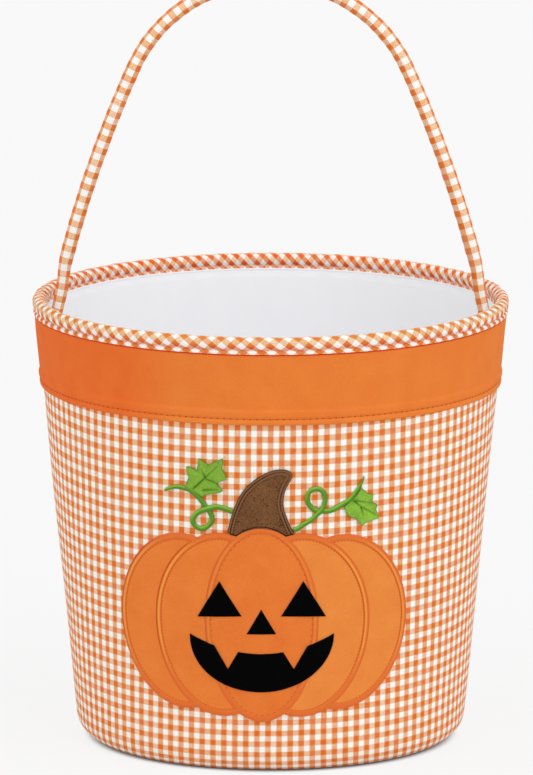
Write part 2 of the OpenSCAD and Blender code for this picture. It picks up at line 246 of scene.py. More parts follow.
def makeSatinGroup():
    # satin stitch: threads side by side along the run (UV y, in mm), painted shade at both feet (UV x, 0 to
    # 1) and a painted highlight over the crest
    tree, given, result = newGroup(
        "satinStitch",
        [("Cloth", "v"), ("Tone", "c"), ("PaintedHighlight", "c"), ("FootShade", "c"), ("Crest", "f"), ("Width", "f"),
         ("PaintedSheen", "f"), ("Pitch", "f"), ("Rim", "f"), ("Edge", "f")],
        [("Color", "c"), ("Height", "f")])
    axes = addNode(tree, "ShaderNodeSeparateXYZ", {0: given["Cloth"]}).outputs
    ruffle = noise(tree, given["Cloth"], satin["ruffle"])
    run = calc(tree, "MULTIPLY_ADD", ruffle, satin["ruffleBy"], axes[1])
    turn = times(tree, calc(tree, "DIVIDE", run, given["Pitch"]), 2 * math.pi)
    stripe = calc(tree, "MULTIPLY_ADD", calc(tree, "SINE", turn), 0.5, 0.5)
    # painted highlight: a bell round the crest, striped by the threads and scaled by its sheen share
    offset = calc(tree, "DIVIDE", minus(tree, axes[0], given["Crest"]), given["Width"])
    lit = calc(tree, "MULTIPLY_ADD", stripe, satin["stripes"], 1 - satin["stripes"])
    paintedLight = times(tree, bell(tree, offset), lit)
    paintedLight = times(tree, paintedLight, given["PaintedSheen"], clamp=True)
    # painted shade: darker towards both feet past the Edge share, by the Rim share; gaps between threads are
    # darker too
    edge = calc(tree, "ABSOLUTE", calc(tree, "MULTIPLY_ADD", axes[0], 2.0, -1.0))
    edge = times(tree, minus(tree, edge, given["Edge"]), satin["footSlope"], clamp=True)
    edge = times(tree, edge, given["Rim"])
    dark = calc(tree, "MULTIPLY_ADD", minus(tree, 1.0, stripe), satin["gaps"], edge, clamp=True)
    colour = blendColour(tree, paintedLight, given["Tone"], given["PaintedHighlight"])
    tree.links.new(blendColour(tree, dark, colour, given["FootShade"]), result.inputs["Color"])
    tree.links.new(stripe, result.inputs["Height"])
    return tree


ginghamGroup, napGroup, satinGroup = makeGinghamGroup(), makeNapGroup(), makeSatinGroup()


def newMaterial(name, rough, specular=0.15):
    material = bpy.data.materials.new(name)
    material.use_nodes = True
    tree = material.node_tree
    shader = tree.nodes["Principled BSDF"]
    shader.inputs["Roughness"].default_value = rough
    shader.inputs["Specular IOR Level"].default_value = specular
    return material, tree, shader


finish = {}


def groupMaterial(name, kind, values, rough, depth, strength, specular=0.15):
    # one node group for colour and height; a value given as a word is read from the piece's attribute
    material, tree, shader = newMaterial(name, rough, specular)
    group = addNode(tree, "ShaderNodeGroup", node_tree=kind, name="pattern")
    if kind == napGroup:
        tree.links.new(addNode(tree, "ShaderNodeTexCoord").outputs["Object"], group.inputs["Place"])
    else:
        tree.links.new(addNode(tree, "ShaderNodeUVMap", uv_map="cloth").outputs[0], group.inputs["Cloth"])
    for key, value in values.items():
        if isinstance(value, str):
            value = addNode(tree, "ShaderNodeAttribute", attribute_name=value).outputs["Fac"]
            tree.links.new(value, group.inputs[key])
        else:
            group.inputs[key].default_value = value
    tree.links.new(group.outputs["Color"], shader.inputs["Base Color"])
    relief = {"Height": group.outputs["Height"], "Distance": depth, "Strength": strength}
    tree.links.new(addNode(tree, "ShaderNodeBump", relief).outputs[0], shader.inputs["Normal"])
    finish[name] = material
    return tree, group


def ginghamMaterial(name, threads, full, warp, weft, white):
    values = {"Threads": threads, "Full": tint(*full), "Warp": tint(*warp), "Weft": tint(*weft),
              "White": tint(*white), "Speck": weave["speck"]}
    return groupMaterial(name, ginghamGroup, values, rough=0.9, depth=0.00012, strength=0.6)


def napMaterial(name, tone, deep, mottle, fibre, rough=0.95, depth=0.0002, strength=0.5, speck=0.0,
                specular=0.15):
    values = {"Tone": tint(*tone), "Deep": tint(*deep), "Mottle": mottle, "Fibre": fibre, "Speck": speck}
    return groupMaterial(name, napGroup, values, rough, depth, strength, specular)


# the second colour and its sheen paint a highlight; the third colour paints shade at the feet
def satinMaterial(name, tone, paintedLight, foot, crest, width, paintedSheen, pitch, rim, edge):
    values = {"Tone": tint(*tone), "PaintedHighlight": tint(*paintedLight), "FootShade": tint(*foot), "Crest": crest,
              "Width": width, "PaintedSheen": paintedSheen, "Pitch": pitch, "Rim": rim, "Edge": edge}
    return groupMaterial(name, satinGroup, values, rough=0.5, depth=0.00012, strength=0.5)


suede = {"tone": (232, 131, 56), "deep": (220, 108, 40), "hem": (233, 137, 59), "hemZ": (0.1912, 0.1924),
         "line": (212, 56, 24), "pipingShadeZ": (0.2247, 0.2255), "leftTone": (233, 116, 48),
         "leftDeep": (221, 94, 33), "leftX": (-0.072, -0.040), "mottle": 0.7, "fibre": 0.9}


def suedeMaterial(name):
    # brushed band: paler along the folded hem, with painted shade as a red line where it meets the piping (by
    # height) and as a redder cast on its left
    tree, group = napMaterial(name, suede["tone"], suede["deep"], suede["mottle"], suede["fibre"])
    place = objectAxes(tree)
    hem = rampUp(tree, place[2], *suede["hemZ"])
    tone = blendColour(tree, hem, tint(*suede["hem"]), tint(*suede["tone"]))
    # painted shade: a red line just under the piping
    line = rampUp(tree, place[2], *suede["pipingShadeZ"])
    # painted shade: a redder cast towards the left of the band
    left = rampUp(tree, place[0], *suede["leftX"])
    for key, colour in (("Tone", tone), ("Deep", tint(*suede["deep"]))):
        colour = blendColour(tree, left, tint(*suede["left" + key]), colour)
        tree.links.new(blendColour(tree, line, colour, tint(*suede["line"])), group.inputs[key])


rimTones = {"front": ((222, 126, 50), (228, 176, 116), (232, 192, 138)),
            "back": ((232, 98, 32), (236, 142, 62), (243, 206, 156)),
            "low": ((222, 84, 36), (230, 146, 96), (234, 182, 148)),
            "white": (243, 241, 238), "threads": 12.0, "shadedBackY": (-0.05, 0.05), "shadedLowZ": 0.2290,
            "shadedLowWide": 0.0015}


def rimMaterial(name):
    # bias-cut check of the piping with painted light and shade: yellower on the lit front than on the shaded
    # back, redder in painted shade on its underside
    tones = {key: [tint(*tone) for tone in rimTones[key]] for key in ("front", "back", "low")}
    tree, group = ginghamMaterial(name, rimTones["threads"], *rimTones["front"], rimTones["white"])
    place = objectAxes(tree)
    # painted light and shade: lit tones on the front, shaded tones at the back
    back = rampUp(tree, place[1], *rimTones["shadedBackY"])
    # painted shade: redder round the underside of the tube
    away = calc(tree, "DIVIDE", minus(tree, place[2], rimTones["shadedLowZ"]), rimTones["shadedLowWide"])
    low = bell(tree, away)
    for index, key in enumerate(("Full", "Warp", "Weft")):
        tone = blendColour(tree, back, tones["front"][index], tones["back"][index])
        tree.links.new(blendColour(tree, low, tone, tones["low"][index]), group.inputs[key])


# Leaf embroidery tones; the crease colour is painted shade, laid on by each point's shade value
leafTones = {"tone": (154, 198, 68), "deep": (100, 156, 40), "crease": (52, 102, 20), "mottle": 1.2,
             "fibre": 2.4, "rough": 0.6}


def leafMaterial(name):
    # embroidery: painted shade, darker in the creases and round the edge, by the piece's own painted light
    # values
    tree, group = napMaterial(name, *(leafTones[key] for key in ("tone", "deep", "mottle", "fibre", "rough")))
    shade = addNode(tree, "ShaderNodeAttribute", attribute_name="paintedLight").outputs["Fac"]
    colour = blendColour(tree, shade, tint(*leafTones["crease"]), group.outputs["Color"])
    tree.links.new(colour, tree.nodes["Principled BSDF"].inputs["Base Color"])


rimMaterial("rimCheck")
suedeMaterial("bandSuede")
leafMaterial("leafThread")
# Checks: threads in a repeat, full squares, half squares along and across, white
for row in (("wallCheck", 10.0, (226, 111, 38), (231, 166, 94), (232, 189, 138), (246, 248, 248)),
            ("ropeCheck", 12.0, (228, 116, 46), (234, 168, 104), (238, 192, 138), (249, 247, 244))):
    ginghamMaterial(*row)
# Satin stitch: tone, painted highlight, painted foot shade, place and width of highlight, its sheen, pitch,
# share and start of the foot shade
for row in (("pumpkinSatin", (227, 114, 46), (242, 176, 66), (204, 72, 26), 0.47, 0.15, "paintedLight", 0.34, "paintedLight",
             0.32),
            ("stemSatin", (116, 74, 45), (142, 98, 64), (50, 25, 12), 0.5, 0.3, 0.8, 0.34, 1.0, 0.35),
            ("vineSatin", (88, 142, 36), (158, 206, 76), (66, 112, 26), 0.5, 0.8, "paintedLight", 0.5, 0.7, 0.62)):
    satinMaterial(*row)
# Felt, thread, painted shade of needle holes, foam and board: pale tone, deep tone, mottling, fibres,
# roughness
for row in (("feltCentre", (230, 127, 55), (217, 102, 38), 0.9, 1.1),
            ("feltLeft", (232, 132, 58), (219, 108, 41), 0.9, 1.1),
            ("feltRight", (233, 142, 66), (221, 118, 48), 0.9, 1.1),
            ("seamThread", (226, 112, 44), (196, 84, 28), 0.4, 0.8, 0.7),
            ("needleHole", (190, 78, 32), (160, 56, 20), 0.3, 0.5, 0.9),
            ("softHole", (204, 92, 36), (182, 74, 26), 0.3, 0.5, 0.9),
            ("darkThread", (42, 20, 10), (20, 9, 4), 0.3, 0.6, 0.8),
            ("veinThread", (46, 88, 22), (26, 56, 12), 0.3, 0.6, 0.8),
            ("foamSheet", (228, 228, 222), (206, 206, 200), 0.4, 0.8),
            ("greyBoard", (186, 158, 122), (150, 124, 92), 0.8, 0.9),
            ("cottonCord", (238, 230, 214), (212, 200, 178), 0.5, 1.0)):
    napMaterial(*row)
napMaterial("liningCloth", (249, 250, 252), (244, 245, 249), 0.4, 0.25, 0.8, depth=0.0001, strength=0.2)
napMaterial("faceFelt", (7, 7, 7), (2, 2, 2), 0.5, 1.0, 1.0, specular=0.02)
napMaterial("stemFelt", (125, 84, 51), (72, 43, 23), 1.1, 2.6, speck=0.9)
print("materials made:", len(finish))


# Mesh helpers; all measures below are millimetres and turn to metres in makePiece

def gridFaces(rows, cols, wrapRows=False, wrapCols=False):
    # quads between neighbouring rows and columns; a wrapped direction joins its last line to its first
    i, j = np.meshgrid(np.arange(rows - (not wrapRows)), np.arange(cols - (not wrapCols)), indexing="ij")
    corners = [(i, j), (i + 1, j), (i + 1, j + 1), (i, j + 1)]
    faces = np.stack([(a % rows) * cols + b % cols for a, b in corners], -1).reshape(-1, 4)
    wide = cols + wrapCols
    picks = np.stack([a * wide + b for a, b in corners], -1).reshape(-1)
    return faces, picks


def makePiece(name, points, faces, material, cornerUv=None, pointValue=None, weld=True, sharp=40.0):
    mesh = bpy.data.meshes.new(name)
    mesh.from_pydata((points.reshape(-1, 3) * mm).tolist(), [], faces.tolist())
    if cornerUv is not None:
        layer = mesh.uv_layers.new(name="cloth")
        layer.data.foreach_set("uv", np.ascontiguousarray(cornerUv, np.float32).ravel())
    # per-point painted light of ridges and leaves: highlight and foot shade, or leaf shade
    if pointValue is not None:
        extra = mesh.attributes.new("paintedLight", "FLOAT", "POINT")
        extra.data.foreach_set("value", np.ascontiguousarray(pointValue, np.float32).ravel())
    work = bmesh.new()
    work.from_mesh(mesh)
    if weld:
        bmesh.ops.remove_doubles(work, verts=work.verts, dist=2e-6)
        bmesh.ops.dissolve_degenerate(work, dist=1e-6, edges=work.edges)
    bmesh.ops.recalc_face_normals(work, faces=work.faces)
    work.to_mesh(mesh)
    work.free()
    mesh.polygons.foreach_set("use_smooth", np.ones(len(mesh.polygons), bool))
    mesh.set_sharp_from_angle(angle=math.radians(sharp))
    mesh.materials.append(finish[material])
    piece = bpy.data.objects.new(name, mesh)
    scene.collection.objects.link(piece)
    return piece


def dress(piece, slot, *nodes):
    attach(piece, "bucket")
    if nodes:
        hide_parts(*nodes)
    return piece


def smoothStep(low, high, value):
    # 0 below low, 1 above high, and 3 t squared minus 2 t cubed between them
    t = np.clip((value - low) / (high - low), 0, 1)
    return t * t * (3 - 2 * t)


def edgeDouble(values):
    # repeats both ends, so that the cut edge of a patch stands upright
    return np.concatenate([values[:1], values, values[-1:]])


def hump(value):
    # 1 where the value is zero, falling off evenly to both sides: e to the minus value squared
    return np.exp(-value ** 2)


def ripple(turn, across, waves):
    # sum of sine waves, each (amount, number round the bag, drift along the other way, start)
    return sum(size * np.sin(number * turn + share * across + start) for size, number, share, start in waves)


def runningSum(steps):
    return np.concatenate([[0], np.cumsum(steps)])


def pathLength(points):
    # distance along a path up to each of its points
    return runningSum(np.linalg.norm(np.diff(points, axis=0), axis=1))


def sampleAt(where, run, points):
    # points of a path at the given places along it
    return np.stack([np.interp(where, run, column) for column in points.T], -1)


def unit(vectors):
    return vectors / np.linalg.norm(vectors, axis=1)[:, None]


def smoothRun(points, steps):
    # curve through the points: each stretch is a cubic set by its two ends and their neighbours
    p = edgeDouble(np.array(points, float))
    t = np.linspace(0, 1, steps, endpoint=False)[None, :, None]
    a, b, c, d = (p[k:len(p) - 3 + k, None] for k in range(4))
    bend, twist = 2 * a - 5 * b + 4 * c - d, 3 * b - a - 3 * c + d
    curve = (2 * b + (c - a) * t + bend * t ** 2 + twist * t ** 3) / 2
    return np.concatenate([curve.reshape(-1, 2), p[-1:]])


# The slanted wall: radius grows evenly with height, and the cloth has a slight, slow unevenness
bag = {"baseR": 101.0, "mouthR": 123.5, "rimZ": 231.0, "footR": 13.5, "seamR": 80.0, "cloth": 0.7,
       "bandZ": 188.0, "wallTop": 227.45, "liningIn": 3.8, "liningOut": 4.2, "turns": 300, "middleZ": 115.0,
       "uneven": ((0.16, 5, 0.021, 0.0), (0.112, 9, -0.043, 1.7), (0.08, 17, 0.06, 0.0)),
       "unevenFrom": (14, 40), "unevenTo": (196, 210), "seam": 0.45, "seamWide": 1.3, "seamFrom": (3, 20)}
taper = (bag["mouthR"] - bag["baseR"]) / bag["rimZ"]
slant = math.hypot(1, taper)
lean = math.atan(taper)
angles = np.linspace(-math.pi, math.pi, bag["turns"], endpoint=False)  # 0 is the front, the ends the back


def unevenness(turn, z):
    # slow waves round the bag that fade out at the foot and under the band
    fade = smoothStep(*bag["unevenFrom"], z) * (1 - smoothStep(*bag["unevenTo"], z))
    return fade * ripple(turn, z, bag["uneven"])


def wallR(z, depth=0.0):
    # radius at a height, at a depth square to the slanted face
    return bag["baseR"] + taper * z - depth * slant


def footProfile(depth, top, flatSteps, arcSteps, wallSteps):
    # half section at a depth below the outer face: along the floor, round the foot, up the slanted wall
    footX = wallR(bag["footR"], bag["footR"])
    flat = np.linspace(bag["seamR"], footX, flatSteps, endpoint=False)
    bend = np.linspace(-math.pi / 2, -lean, arcSteps)
    radius = bag["footR"] - depth
    arcR, arcZ = footX + radius * np.cos(bend), bag["footR"] + radius * np.sin(bend)
    wallZ = np.linspace(arcZ[-1], top, wallSteps)[1:]
    r = np.concatenate([flat, arcR, wallR(wallZ, depth)])
    z = np.concatenate([np.full(flatSteps, depth), arcZ, wallZ])
    return r, z


def runLength(r, z):
    # length of a section up to each of its points
    return runningSum(np.hypot(np.diff(r), np.diff(z)))


def roundPiece(name, r, z, turn, uv, material, sharp=40.0):
    # closed section (columns) carried round the axis (rows)
    points = np.stack([r * np.sin(turn)[:, None], -r * np.cos(turn)[:, None], z], -1)
    faces, picks = gridFaces(*r.shape, True, True)
    return makePiece(name, points, faces, material, uv.reshape(-1, 2)[picks], weld=False, sharp=sharp)


def closeUv(u, v):
    # repeats the first column at the end, where the section closes
    u, v = np.concatenate([u, u[:, :1]], 1), np.concatenate([v, v[:, :1]], 1)
    return np.stack([u, v], -1)


def wholeTurn():
    return np.concatenate([angles, [math.pi]])


check = {"column": 5.75, "widen": 0.62, "widenBy": 80.0, "lean": -0.00228, "rowLow": 5.7, "rowHigh": 6.6,
         "grain": 0.38, "columnShift": 0.34, "rowShift": 0.56, "skew": 0.0055, "uprightZ": 170,
         "slantLength": 250.0, "disc": 5.9}


def wallUv(turn, r, z, run):
    # columns widen a little away from the front and lean; rows widen a little towards the rim, climb towards
    # the back as on straight cloth bent to a cone, and rise a touch to the right
    growth = (check["rowHigh"] - check["rowLow"]) / check["slantLength"]
    rows = np.log(1 + growth * run / check["rowLow"]) / growth
    cone = r / math.sin(lean)
    climb = check["grain"] * cone * (1 - np.cos(turn * math.sin(lean))) + check["skew"] * r * np.sin(turn)
    side = turn * r
    reach = np.linspace(0, 420, 841)
    width = check["column"] + check["widen"] * smoothStep(0, check["widenBy"], reach)
    count = runningSum(np.diff(reach) * (1 / width[1:] + 1 / width[:-1]) / 2)
    u = np.sign(side) * np.interp(np.abs(side), reach, count) + check["columnShift"]
    u = u + check["lean"] * (z - check["uprightZ"])
    v = rows - climb / check["rowLow"] + check["rowShift"]
    return u, v


def backSeam(turn, radius, width):
    # the pressed seam down the back, by the distance round from it
    return hump((np.pi - np.abs(turn)) * radius / width)


def makeWall():
    # outer and inner section, joined at the top and at the base seam and carried round
    outR, outZ = footProfile(0.0, bag["wallTop"], 6, 16, 74)
    inR, inZ = footProfile(bag["cloth"], bag["wallTop"], 3, 8, 12)
    section = np.concatenate([outR, inR[::-1]]), np.concatenate([outZ, inZ[::-1]])
    run = np.concatenate([runLength(outR, outZ), runLength(inR, inZ)[::-1]])
    turn = wholeTurn()[:, None]
    r = np.broadcast_to(section[0], (len(turn), len(run)))
    z = np.broadcast_to(section[1], r.shape)
    seam = bag["seam"] * backSeam(turn, 110, bag["seamWide"]) * smoothStep(*bag["seamFrom"], z)
    u, v = wallUv(turn, r, z, run[None, :])
    uneven = unevenness(turn, z) - seam
    piece = roundPiece("wall_cloth", (r + uneven)[:-1], z[:-1], angles, closeUv(u, v), "wallCheck")
    dress(piece, "gingham", "outer_wall")


def makeDisc(name, low, high, edgeR, material, slot, node):
    # round sheet: rings from the middle out on top, a rounded edge, rings back to the middle below
    share = np.linspace(0, 1, 16)
    r = np.concatenate([share * edgeR, [edgeR + 0.02], share[::-1] * edgeR])
    z = np.concatenate([np.full(16, high), [(low + high) / 2], np.full(16, low)])
    turn = np.linspace(-math.pi, math.pi, 120, endpoint=False)[:, None]
    points = np.stack(np.broadcast_arrays(r * np.sin(turn), -r * np.cos(turn), z), -1)
    faces, picks = gridFaces(*points.shape[:2], True, False)
    uv = points[..., :2] / check["disc"]
    uv = np.concatenate([uv, uv[:1]], 0).reshape(-1, 2)[picks]
    piece = dress(makePiece(name, points, faces, material, uv), slot, node)


makeWall()
discR = bag["seamR"] - 0.1
makeDisc("base_cloth", 0.0, bag["cloth"], discR, "wallCheck", "gingham", "outer_base")
makeDisc("lining_floor", bag["liningIn"], bag["liningOut"], discR, "liningCloth", "lining", "lining_base")
print("wall and base made")

lining = {"puckers": 46, "pucker": 0.22, "reach": 34.0, "top": 226.9, "step": 1.05, "stepZ": (150.0, 225.0),
          "lip": 0.16, "lipZ": 225.9, "groove": 0.08, "grooveZ": 225.6, "grooveWide": 0.35, "plainZ": 140.0,
          "fineZ": 218.0, "puckerZ": (20, 60), "puckerTop": (222, 225), "even": 0.8, "folded": 0.5}


def makeLining():
    # inner skin: towards the rim the cloth swells in over the flange of the piping, ends in a rounded lip
    # above a sewn groove, and is drawn into soft upright puckers that die out downwards
    farR, farZ = footProfile(bag["liningOut"], lining["plainZ"], 4, 14, 30)
    nearR, nearZ = footProfile(bag["liningIn"], lining["plainZ"], 3, 8, 12)
    rise = np.concatenate([np.linspace(lining["plainZ"], lining["fineZ"], 30)[1:],
                           np.linspace(lining["fineZ"], lining["top"], 36)[1:]])
    step = lining["step"] * smoothStep(*lining["stepZ"], rise)
    lip = np.clip((rise - lining["lipZ"]) / (lining["top"] - lining["lipZ"]), 0, 1)
    lip = lining["lip"] * np.sin(np.pi * lip)
    lip = lip - lining["groove"] * hump((rise - lining["grooveZ"]) / lining["grooveWide"])
    farR = np.concatenate([farR, wallR(rise, bag["liningOut"] + step + lip)])
    nearR = np.concatenate([nearR, wallR(rise, bag["liningIn"] + step)])
    farZ, nearZ = np.concatenate([farZ, rise]), np.concatenate([nearZ, rise])
    turn = angles[:, None]
    fade = np.exp(-np.maximum(lining["puckerTop"][0] - farZ, 0) / lining["reach"])
    fade = fade * smoothStep(*lining["puckerZ"], farZ) * (1 - smoothStep(*lining["puckerTop"], farZ))
    fold = np.sin(lining["puckers"] * turn + 2.2 * np.sin(3 * turn)) + 0.6 * np.sin(29 * turn + 1.0)
    far = farR - lining["pucker"] * fade * (lining["even"] + lining["folded"] * fold)
    near = np.broadcast_to(nearR, (len(turn), len(nearR)))
    r = np.concatenate([far, near[:, ::-1]], 1)
    z = np.broadcast_to(np.concatenate([farZ, nearZ[::-1]]), r.shape)
    turnFull = wholeTurn()[:, None]
    uv = closeUv(np.broadcast_to(turnFull * 20, (len(turnFull), r.shape[1])),
                 np.broadcast_to(z[:1] / 6, (len(turnFull), r.shape[1])))
    piece = dress(roundPiece("lining_wall_cloth", r, z, angles, uv, "liningCloth"), "lining", "lining_wall")


makeLining()
print("lining made")

band = {"stitchUp": 3.4, "pitch": 3.4, "lift": 0.78, "hem": 1.55, "hemUp": (6.5, 9.0), "fold": 1.0,
        "dip": 0.55, "dipWide": 0.75, "top": 226.6, "room": 0.06, "waveTop": (216, 224), "waveLeast": -0.1,
        "waves": ((0.12, 7, 0, 0.4), (0.10, 19, 0.05, 0), (0.07, 41, 0, 0)),
        "seam": 0.5, "seamMost": 0.4, "seamWide": 1.2,
        "stitch": (1.25, 0.30, 0.20), "hole": (0.58, 0.42, 0.14)}


def bandLift(z):
    # height of the band above the gingham: a full fold at the lower edge, drawn in along the stitch
    # row, a soft second swell over the turned-up hem, then flat up to the rim
    up = z - bag["bandZ"]
    fold = band["hem"] * np.sqrt(1 - np.clip(1 - up / band["fold"], 0, 1) ** 2)
    level = band["lift"] + (band["hem"] - band["lift"]) * (1 - smoothStep(*band["hemUp"], up))
    lift = np.where(up < band["fold"], fold, level)
    return lift - band["dip"] * hump((up - band["stitchUp"]) / band["dipWide"])


def bandR(turn, z):
    # radius of the band's face: lift over the wall, slow waves round it, and the sewn seam at the back
    wave = ripple(turn, z, band["waves"]) * smoothStep(bag["bandZ"], bag["bandZ"] + 3, z)
    wave = np.maximum(wave * (1 - smoothStep(*band["waveTop"], z)), band["waveLeast"])
    seam = np.minimum(band["seam"] * backSeam(turn, 120, band["seamWide"]), band["seamMost"])
    return wallR(z, -bandLift(z) - band["room"]) + wave - seam


def makeBand():
    # face and back of the band as one closed section, carried round
    up = np.concatenate([1 - np.cos(np.linspace(0, math.pi / 2, 6)), np.linspace(1.3, 10, 30)])
    z = np.concatenate([bag["bandZ"] + up, np.linspace(bag["bandZ"] + 11, band["top"], 20)])
    inZ = np.linspace(band["top"], bag["bandZ"] + 0.2, 12)
    turnFull = wholeTurn()[:, None]
    inner = np.broadcast_to(wallR(inZ, -band["room"]), (len(turnFull), len(inZ)))
    r = np.concatenate([bandR(turnFull, z), inner], 1)
    zz = np.broadcast_to(np.concatenate([z, inZ]), r.shape)
    uv = closeUv(turnFull * r / 10, zz / 10)
    piece = dress(roundPiece("band_cloth", r[:-1], zz[:-1], angles, uv, "bandSuede"), "band", "top_band")


def makeBeads(name, centre, along, out, size, material):
    # many small rounded stitches in one mesh: a 6 by 6 ellipsoid stretched along, across and out
    side = np.cross(out, along)
    tall = np.linspace(0, math.pi, 6)
    turn = np.linspace(0, 2 * math.pi, 6, endpoint=False)
    tall, turn = np.meshgrid(tall, turn, indexing="ij")
    ball = np.stack([np.cos(tall), np.sin(tall) * np.cos(turn), np.sin(tall) * np.sin(turn)], -1)
    ball = ball.reshape(-1, 3)
    axes = np.stack([along * size[0], side * size[1], out * size[2]], 1)
    points = centre[:, None, :] + np.einsum("pk,nkc->npc", ball, axes)
    faces, _ = gridFaces(6, 6, False, True)
    faces = (faces[None] + (np.arange(len(centre)) * len(ball))[:, None, None]).reshape(-1, 4)
    return makePiece(name, points, faces, material, sharp=80.0)


def bandRing(z, count, shift, proud):
    # places on the face of the band at one height, with the way round it and the way out
    turn = (np.arange(count) + shift) * 2 * math.pi / count
    turn = np.where(turn > math.pi, turn - 2 * math.pi, turn)
    r = bandR(turn, np.full(count, z)) + proud
    zero = np.zeros(count)
    out = np.stack([np.sin(turn), -np.cos(turn), np.full(count, -taper)], -1) / slant
    along = np.stack([np.cos(turn), np.sin(turn), zero], -1)
    return np.stack([r * np.sin(turn), -r * np.cos(turn), zero + z], -1), along, out


def makeBandStitches():
    # stitches along the drawn-in row, and between each two a dark bead, painted shade of the needle hole
    z = bag["bandZ"] + band["stitchUp"]
    count = round(2 * math.pi * wallR(z) / band["pitch"])
    for name, shift, proud, size, material in (
            ("band_stitches", 0.0, 0.02, band["stitch"], "seamThread"),
            ("band_needle_holes", 0.5, 0.06, band["hole"], "needleHole")):
        dress(makeBeads(name, *bandRing(z, count, shift, proud), size, material), "band")


makeBand()
makeBandStitches()
print("band and its stitches made")

pipe = {"cordR": 3.25, "tape": 0.5, "flangeZ": 226.0, "flangeTop": 227.1, "crease": (123.2, 227.85),
        "lift": 1.05, "innerGap": 0.32, "wrap": (230, -58), "tubeZ": (228.2, 229.8), "turns": 560,
        "turnAt": (0.45, 0.8, 1.3, 2.3),
        "repeat": (9.8, 8.3, 8.3, 7.1), "acrossWarp": 7.1, "acrossWeft": 9.6, "flangeLump": 0.25,
        "lumps": ((0.10, 84, 0.35, 0), (0.08, 37, 0, 1.1), (0.07, 61, 0.2, 0))}
pipeR = (wallR(bag["rimZ"]) + wallR(bag["rimZ"], bag["liningOut"])) / 2


def rimPath():
    # middle line of the bias tape: up the inner flange, over the cord, in at the crease, down the outer one
    legZ = np.linspace(pipe["flangeZ"], pipe["flangeTop"], 4)
    bend = np.radians(np.linspace(*pipe["wrap"], 30))
    inner = np.stack([wallR(legZ, bag["liningOut"] + pipe["innerGap"]), legZ], -1)
    outer = np.stack([wallR(legZ, -pipe["lift"]), legZ], -1)[::-1]
    over = np.stack([pipeR + pipe["cordR"] * np.cos(bend), bag["rimZ"] + pipe["cordR"] * np.sin(bend)], -1)
    path = np.concatenate([inner, over, [pipe["crease"]], outer])
    # each corner is cut at a quarter of its sides
    mixed = np.stack([0.75 * path[:-1] + 0.25 * path[1:], 0.25 * path[:-1] + 0.75 * path[1:]], 1)
    return np.concatenate([path[:1], mixed.reshape(-1, 2)[1:-1], path[-1:]])


def rimRepeats(turn):
    # repeats of the check along the rim, widest at the front and closest at the back, a whole number in all
    dense = np.linspace(-math.pi, math.pi, 2001)
    period = np.interp(np.abs(dense), pipe["turnAt"], pipe["repeat"])
    count = runningSum(pipeR * np.diff(dense) / ((period[1:] + period[:-1]) / 2))
    return np.interp(turn, dense, count * round(count[-1]) / count[-1])


def makeBinding():
    # tape of even thickness along the path, lumpy over the cord, carried round
    path = rimPath()
    tangent = np.gradient(path, axis=0)
    normal = unit(np.stack([-tangent[:, 1], tangent[:, 0]], -1))
    normal *= np.sign(normal[len(path) // 2, 1])  # outwards, so upwards at the top of the cord
    run = runLength(path[:, 0], path[:, 1])
    turn = np.linspace(-math.pi, math.pi, pipe["turns"] + 1)[:, None]
    onTube = smoothStep(*pipe["tubeZ"], path[:, 1])
    lump = ripple(turn, run, pipe["lumps"]) * (pipe["flangeLump"] + (1 - pipe["flangeLump"]) * onTube)
    half = pipe["tape"] / 2
    outer = path[None] + normal[None] * (half + lump[..., None])
    inner = np.broadcast_to(path - normal * half, outer.shape)[:, ::-1]
    section = np.concatenate([outer, inner], 1)
    a = np.broadcast_to(rimRepeats(turn), section.shape[:2])
    b = np.broadcast_to(np.concatenate([run, run[::-1]]), section.shape[:2])
    uv = closeUv(a - b / pipe["acrossWarp"], a + b / pipe["acrossWeft"])
    r, z = section[:-1, :, 0], section[:-1, :, 1]
    piece = roundPiece("rim_piping", r, z, turn[:-1, 0], uv, "rimCheck", 50.0)
    dress(piece, "gingham", "rim_binding")


makeBinding()
print("rim piping made")

rope = {"radius": 3.75, "rootRadius": 3.2, "pivotX": 112.39, "rootLean": 12.4, "crownLean": 24.2,
        "rise": 170.0, "rootDown": 21.0, "along": 6.85, "around": 3, "twist": 0.2, "sides": 28,
        "fillerSides": 16, "fillerUp": 7, "step": 1.5, "lump": 0.06, "slowLump": 0.31, "cover": 0.6,
        "tuckIn": 1.6, "tuckLow": (211, 226), "tuckHigh": (234, 254), "slimZ": (240, 262),
        "pressDown": (3.0, 17.0), "pressed": 0.45, "spread": 0.22}


